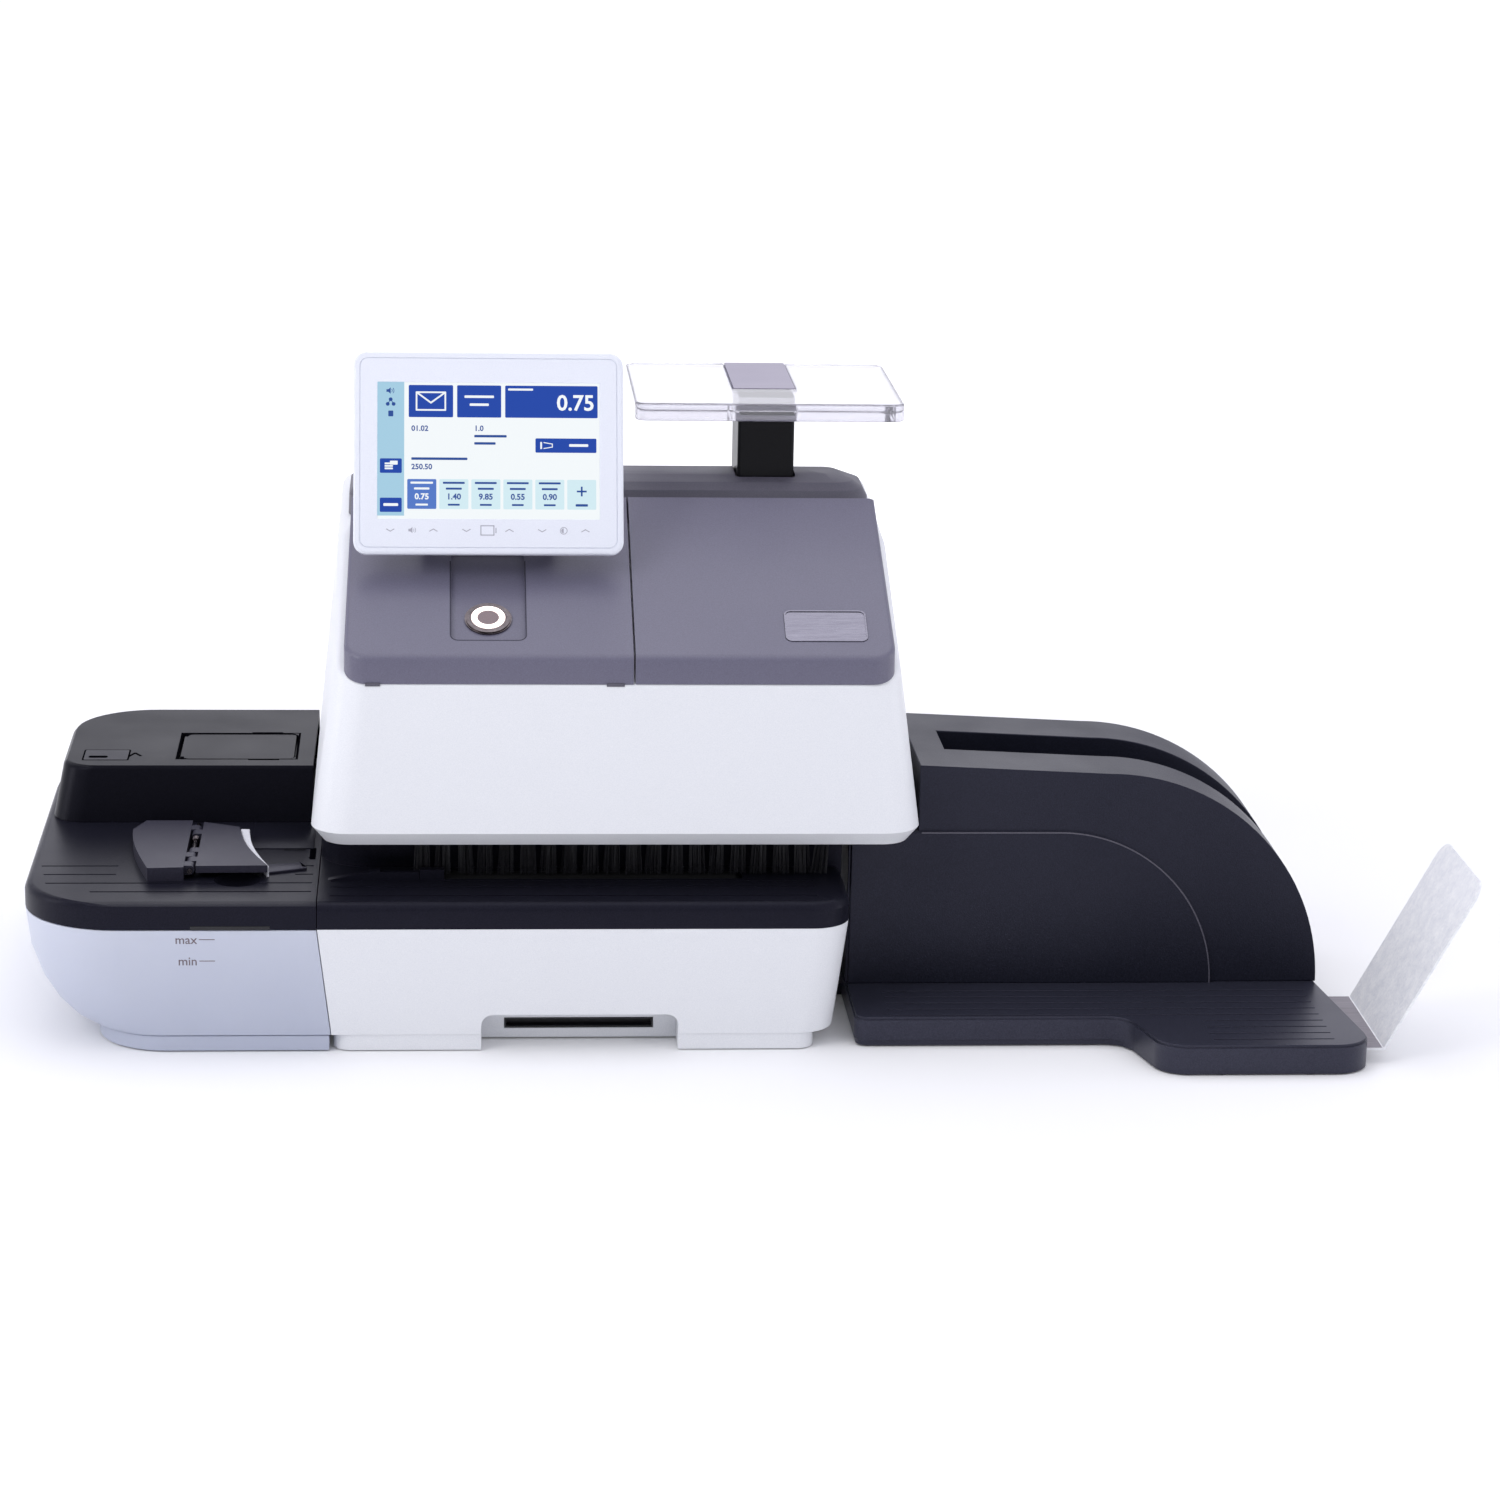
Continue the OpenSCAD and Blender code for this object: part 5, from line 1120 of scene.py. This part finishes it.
def layFlat(name, bm, height, finish="lineBlack", body="machine"):
    laySheet(name, bm, trim["sheet"], Matrix.Translation(spot(0, 0, height)), finish, body)


def layPlaque(name, area, height, corner=0.0, finish="lineBlack"):
    bm = bmesh.new()
    plaque(bm, *area, corner)
    layFlat(name, bm, height, finish)


# low blocks on the sealer's deck and a tab under its front edge, and the marks beside them, of which the
# short groove and the notch are flat dark sheets of painted shade
deckBlocks = {
    "bladeGuide": {"outline": [(-213.8, 85.0), (-213.0, 66.4), (-183.8, 78.0), (-187.0, 92.0)],
                   "low": deckTop, "rise": 1.6, "edge": 0.35, "finish": "flapBlack"},
    "deckShelf": {"outline": corners(-224.0, 128.0, -180.5, 192.6),
                  "low": deckTop, "rise": 0.7, "edge": 0.35, "finish": "deckBlack"},
    "underTab": {"outline": corners(-258.4, -0.4, -206.0, 0.6),
                 "low": 88.1, "rise": 2.4, "edge": 0.1, "finish": "innerBlack"},
}
deckMarks = {
    "bladeTip": [(-189.4, 92.6), (-184.2, 80.6), (-187.0, 80.9)],
    # painted shade: dark sheets where a short groove and a notch are recessed into the deck
    "shortGrooveShade": (-201.0, 125.0, -186.0, 126.6),
    "notchShade": (-183.0, 103.0, -178.8, 131.0),
    "notchShadeCorner": 1.2,
}


def makeDeckTrim():
    for name, look in deckBlocks.items():
        bm = bmesh.new()
        prism(bm, look["outline"], look["low"], look["rise"], look["edge"])
        layTrim(name, bm, look["finish"])
    tip = bmesh.new()
    tip.faces.new([tip.verts.new((x, y, 0)) for x, y in deckMarks["bladeTip"]])
    layFlat("bladeTip", tip, deckTop + deckBlocks["bladeGuide"]["rise"])
    layPlaque("shortGrooveShade", deckMarks["shortGrooveShade"], deckTop + deckBlocks["deckShelf"]["rise"])
    layPlaque("deckNotchShade", deckMarks["notchShade"], deckTop, deckMarks["notchShadeCorner"])


# lock slider on the hood: a panel with a dark edge, its slot and an arrow beside it
lock = {
    "panel": (-345.0, 219.5, -314.5, 245.5),
    "panelCorner": 1.0,
    "edge": 1.2,
    "edgeCorner": 1.4,
    "slot": (-342.0, 224.5, -328.5, 230.0),
    "slotCorner": 2.0,
    "arrow": [(-314.0, 228.0), (-310.0, 238.0), (-305.5, 230.0)],
    "arrowLine": 2.0,
}


def makeLock():
    edge, sheet = lock["edge"], trim["sheet"]
    x0, y0, x1, y1 = lock["panel"]
    layPlaque("lockEdge", (x0 - edge, y0 - edge, x1 + edge, y1 + edge), hoodTop, lock["edgeCorner"])
    layPlaque("lockPanel", lock["panel"], hoodTop + sheet, lock["panelCorner"], "deckBlack")
    layPlaque("lockSlot", lock["slot"], hoodTop + 2 * sheet, lock["slotCorner"])
    arrow = bmesh.new()
    for start, end in zip(lock["arrow"], lock["arrow"][1:]):
        stroke(arrow, *start, *end, lock["arrowLine"])
    layFlat("lockArrow", arrow, hoodTop)


# shadow line on the hood round the filler lid
lidLine = {"gap": 1.5, "width": 1.6}


def makeLidLine():
    low, high = boxMm("filler_lid")
    gap = lidLine["gap"]
    far = gap + lidLine["width"]
    bm = bmesh.new()
    plaque(bm, low.x - far, low.y - far, high.x + far, low.y - gap)
    plaque(bm, low.x - far, high.y + gap, high.x + far, high.y + far)
    plaque(bm, low.x - far, low.y - gap, low.x - gap, high.y + gap)
    plaque(bm, high.x + gap, low.y - gap, high.x + far, high.y + gap)
    layFlat("lidLine", bm, hoodTop)


# tabs that snap the covers in at the head's front
snapTabs = {
    "spans": [(-143.5, -133.6), (17.3, 29.3)],
    "depth": (51.8, 53.4),
    "low": 241.2,
    "rise": 2.2,
    "edge": 0.2,
}


def makeSnapTabs():
    front, back = snapTabs["depth"]
    bm = bmesh.new()
    for left, right in snapTabs["spans"]:
        prism(bm, corners(left, front, right, back), snapTabs["low"], snapTabs["rise"], snapTabs["edge"])
    layTrim("snapTabs", bm, "humpGrey")


# thin raised bead on the tray wall's front, a straight run that ends in a quarter circle; its lighter grey on
# the black wall paints the highlight along the panel's edge
beadHighlight = {"x": 332.0, "radius": 108.6, "left": 236.0, "width": 0.9, "lift": 0.3, "steps": 40}


def makePanelBeadHighlight():
    wall = boxMm("tray_wall")[0]
    bm = bmesh.new()
    hoop(bm, beadHighlight["x"], wall.z, beadHighlight["radius"], beadHighlight["width"], 0, 90, beadHighlight["steps"])
    top = wall.z + beadHighlight["radius"]
    plaque(bm, beadHighlight["left"], top - beadHighlight["width"] / 2, beadHighlight["x"], top + beadHighlight["width"] / 2)
    place = facing((0, wall.y, 0), 0)
    # painted highlight: the bead is laid in a lighter grey than the wall it stands on
    laySheet("panelBeadHighlight", bm, beadHighlight["lift"], place, "humpGrey", "machine")


# shadow line round three sides of the start button's trough, on the control cover's plane
trough = {
    "at": (-61.5, 90.42, 280.1),
    "lean": 62.5,
    "half": 25.4,
    "foot": -24.4,
    "head": 58.0,
    "corner": 5.4,
    "width": 0.8,
    "steps": 10,
}


def makeTroughLine():
    half, foot, corner, width = (trough[k] for k in ("half", "foot", "corner", "width"))
    bm = bmesh.new()
    for side in (-half, half):
        plaque(bm, side - width / 2, foot + corner, side + width / 2, trough["head"])
    plaque(bm, -half + corner, foot - width / 2, half - corner, foot + width / 2)
    for x, start in ((-half + corner, 180), (half - corner, 270)):
        hoop(bm, x, foot + corner, corner, width, start, start + 90, trough["steps"])
    place = facing(trough["at"], trough["lean"])
    laySheet("troughLine", bm, trim["sheet"], place, "flapBlack", "machine")


# the letter stop's foot, a little rougher than its blade and in a darker copy of its steel that paints the
# foot's shade
stopFoot = {"length": 136.8, "end": 1.0, "side": 0.4, "thickness": 1.5}


def makeStopFoot():
    low, high = boxMm("letter_stop")
    left = low.x + stopFoot["end"]
    side = stopFoot["side"]
    bm = bmesh.new()
    plaque(bm, left, low.y + side, left + stopFoot["length"], high.y - side)
    layFlat("stopFoot", bm, low.z + stopFoot["thickness"], "footSteelShaded", "letter_stop")


makeDeckTrim()
makeLock()
makeLidLine()
makeSnapTabs()
makePanelBeadHighlight()
makeTroughLine()
makeStopFoot()
print("trim made")

# torsion spring that winds round the flap's hinge pin
spring = {
    "fromPinEnd": 71.5,
    "radius": 2.3,
    "wire": 0.45,
    "wireSides": 8,
    "turns": 6,
    "length": 6.6,
    "steps": 16,
}


def makeSpring():
    low, high = boxMm("flap_hinge_pin")
    x, y, z = (low.x + high.x) / 2, low.y + spring["fromPinEnd"], (low.z + high.z) / 2
    bm = bmesh.new()
    ring = bmesh.ops.create_circle(bm, cap_ends=False, segments=spring["wireSides"], radius=spring["wire"],
                                   matrix=Matrix.Translation((x + spring["radius"], y, z)))["verts"]
    count = spring["turns"] * spring["steps"]
    bmesh.ops.spin(bm, geom=ring + list(bm.edges), cent=(x, y, z), axis=(0, 1, 0),
                   dvec=(0, spring["length"] / count, 0), angle=2 * math.pi * spring["turns"], steps=count,
                   use_duplicate=False)
    bmesh.ops.holes_fill(bm, edges=[edge for edge in bm.edges if edge.is_boundary], sides=spring["wireSides"])
    bmesh.ops.recalc_face_normals(bm, faces=bm.faces)
    layTrim("flapSpring", bm, "chromeRing")


makeSpring()
print("spring made")
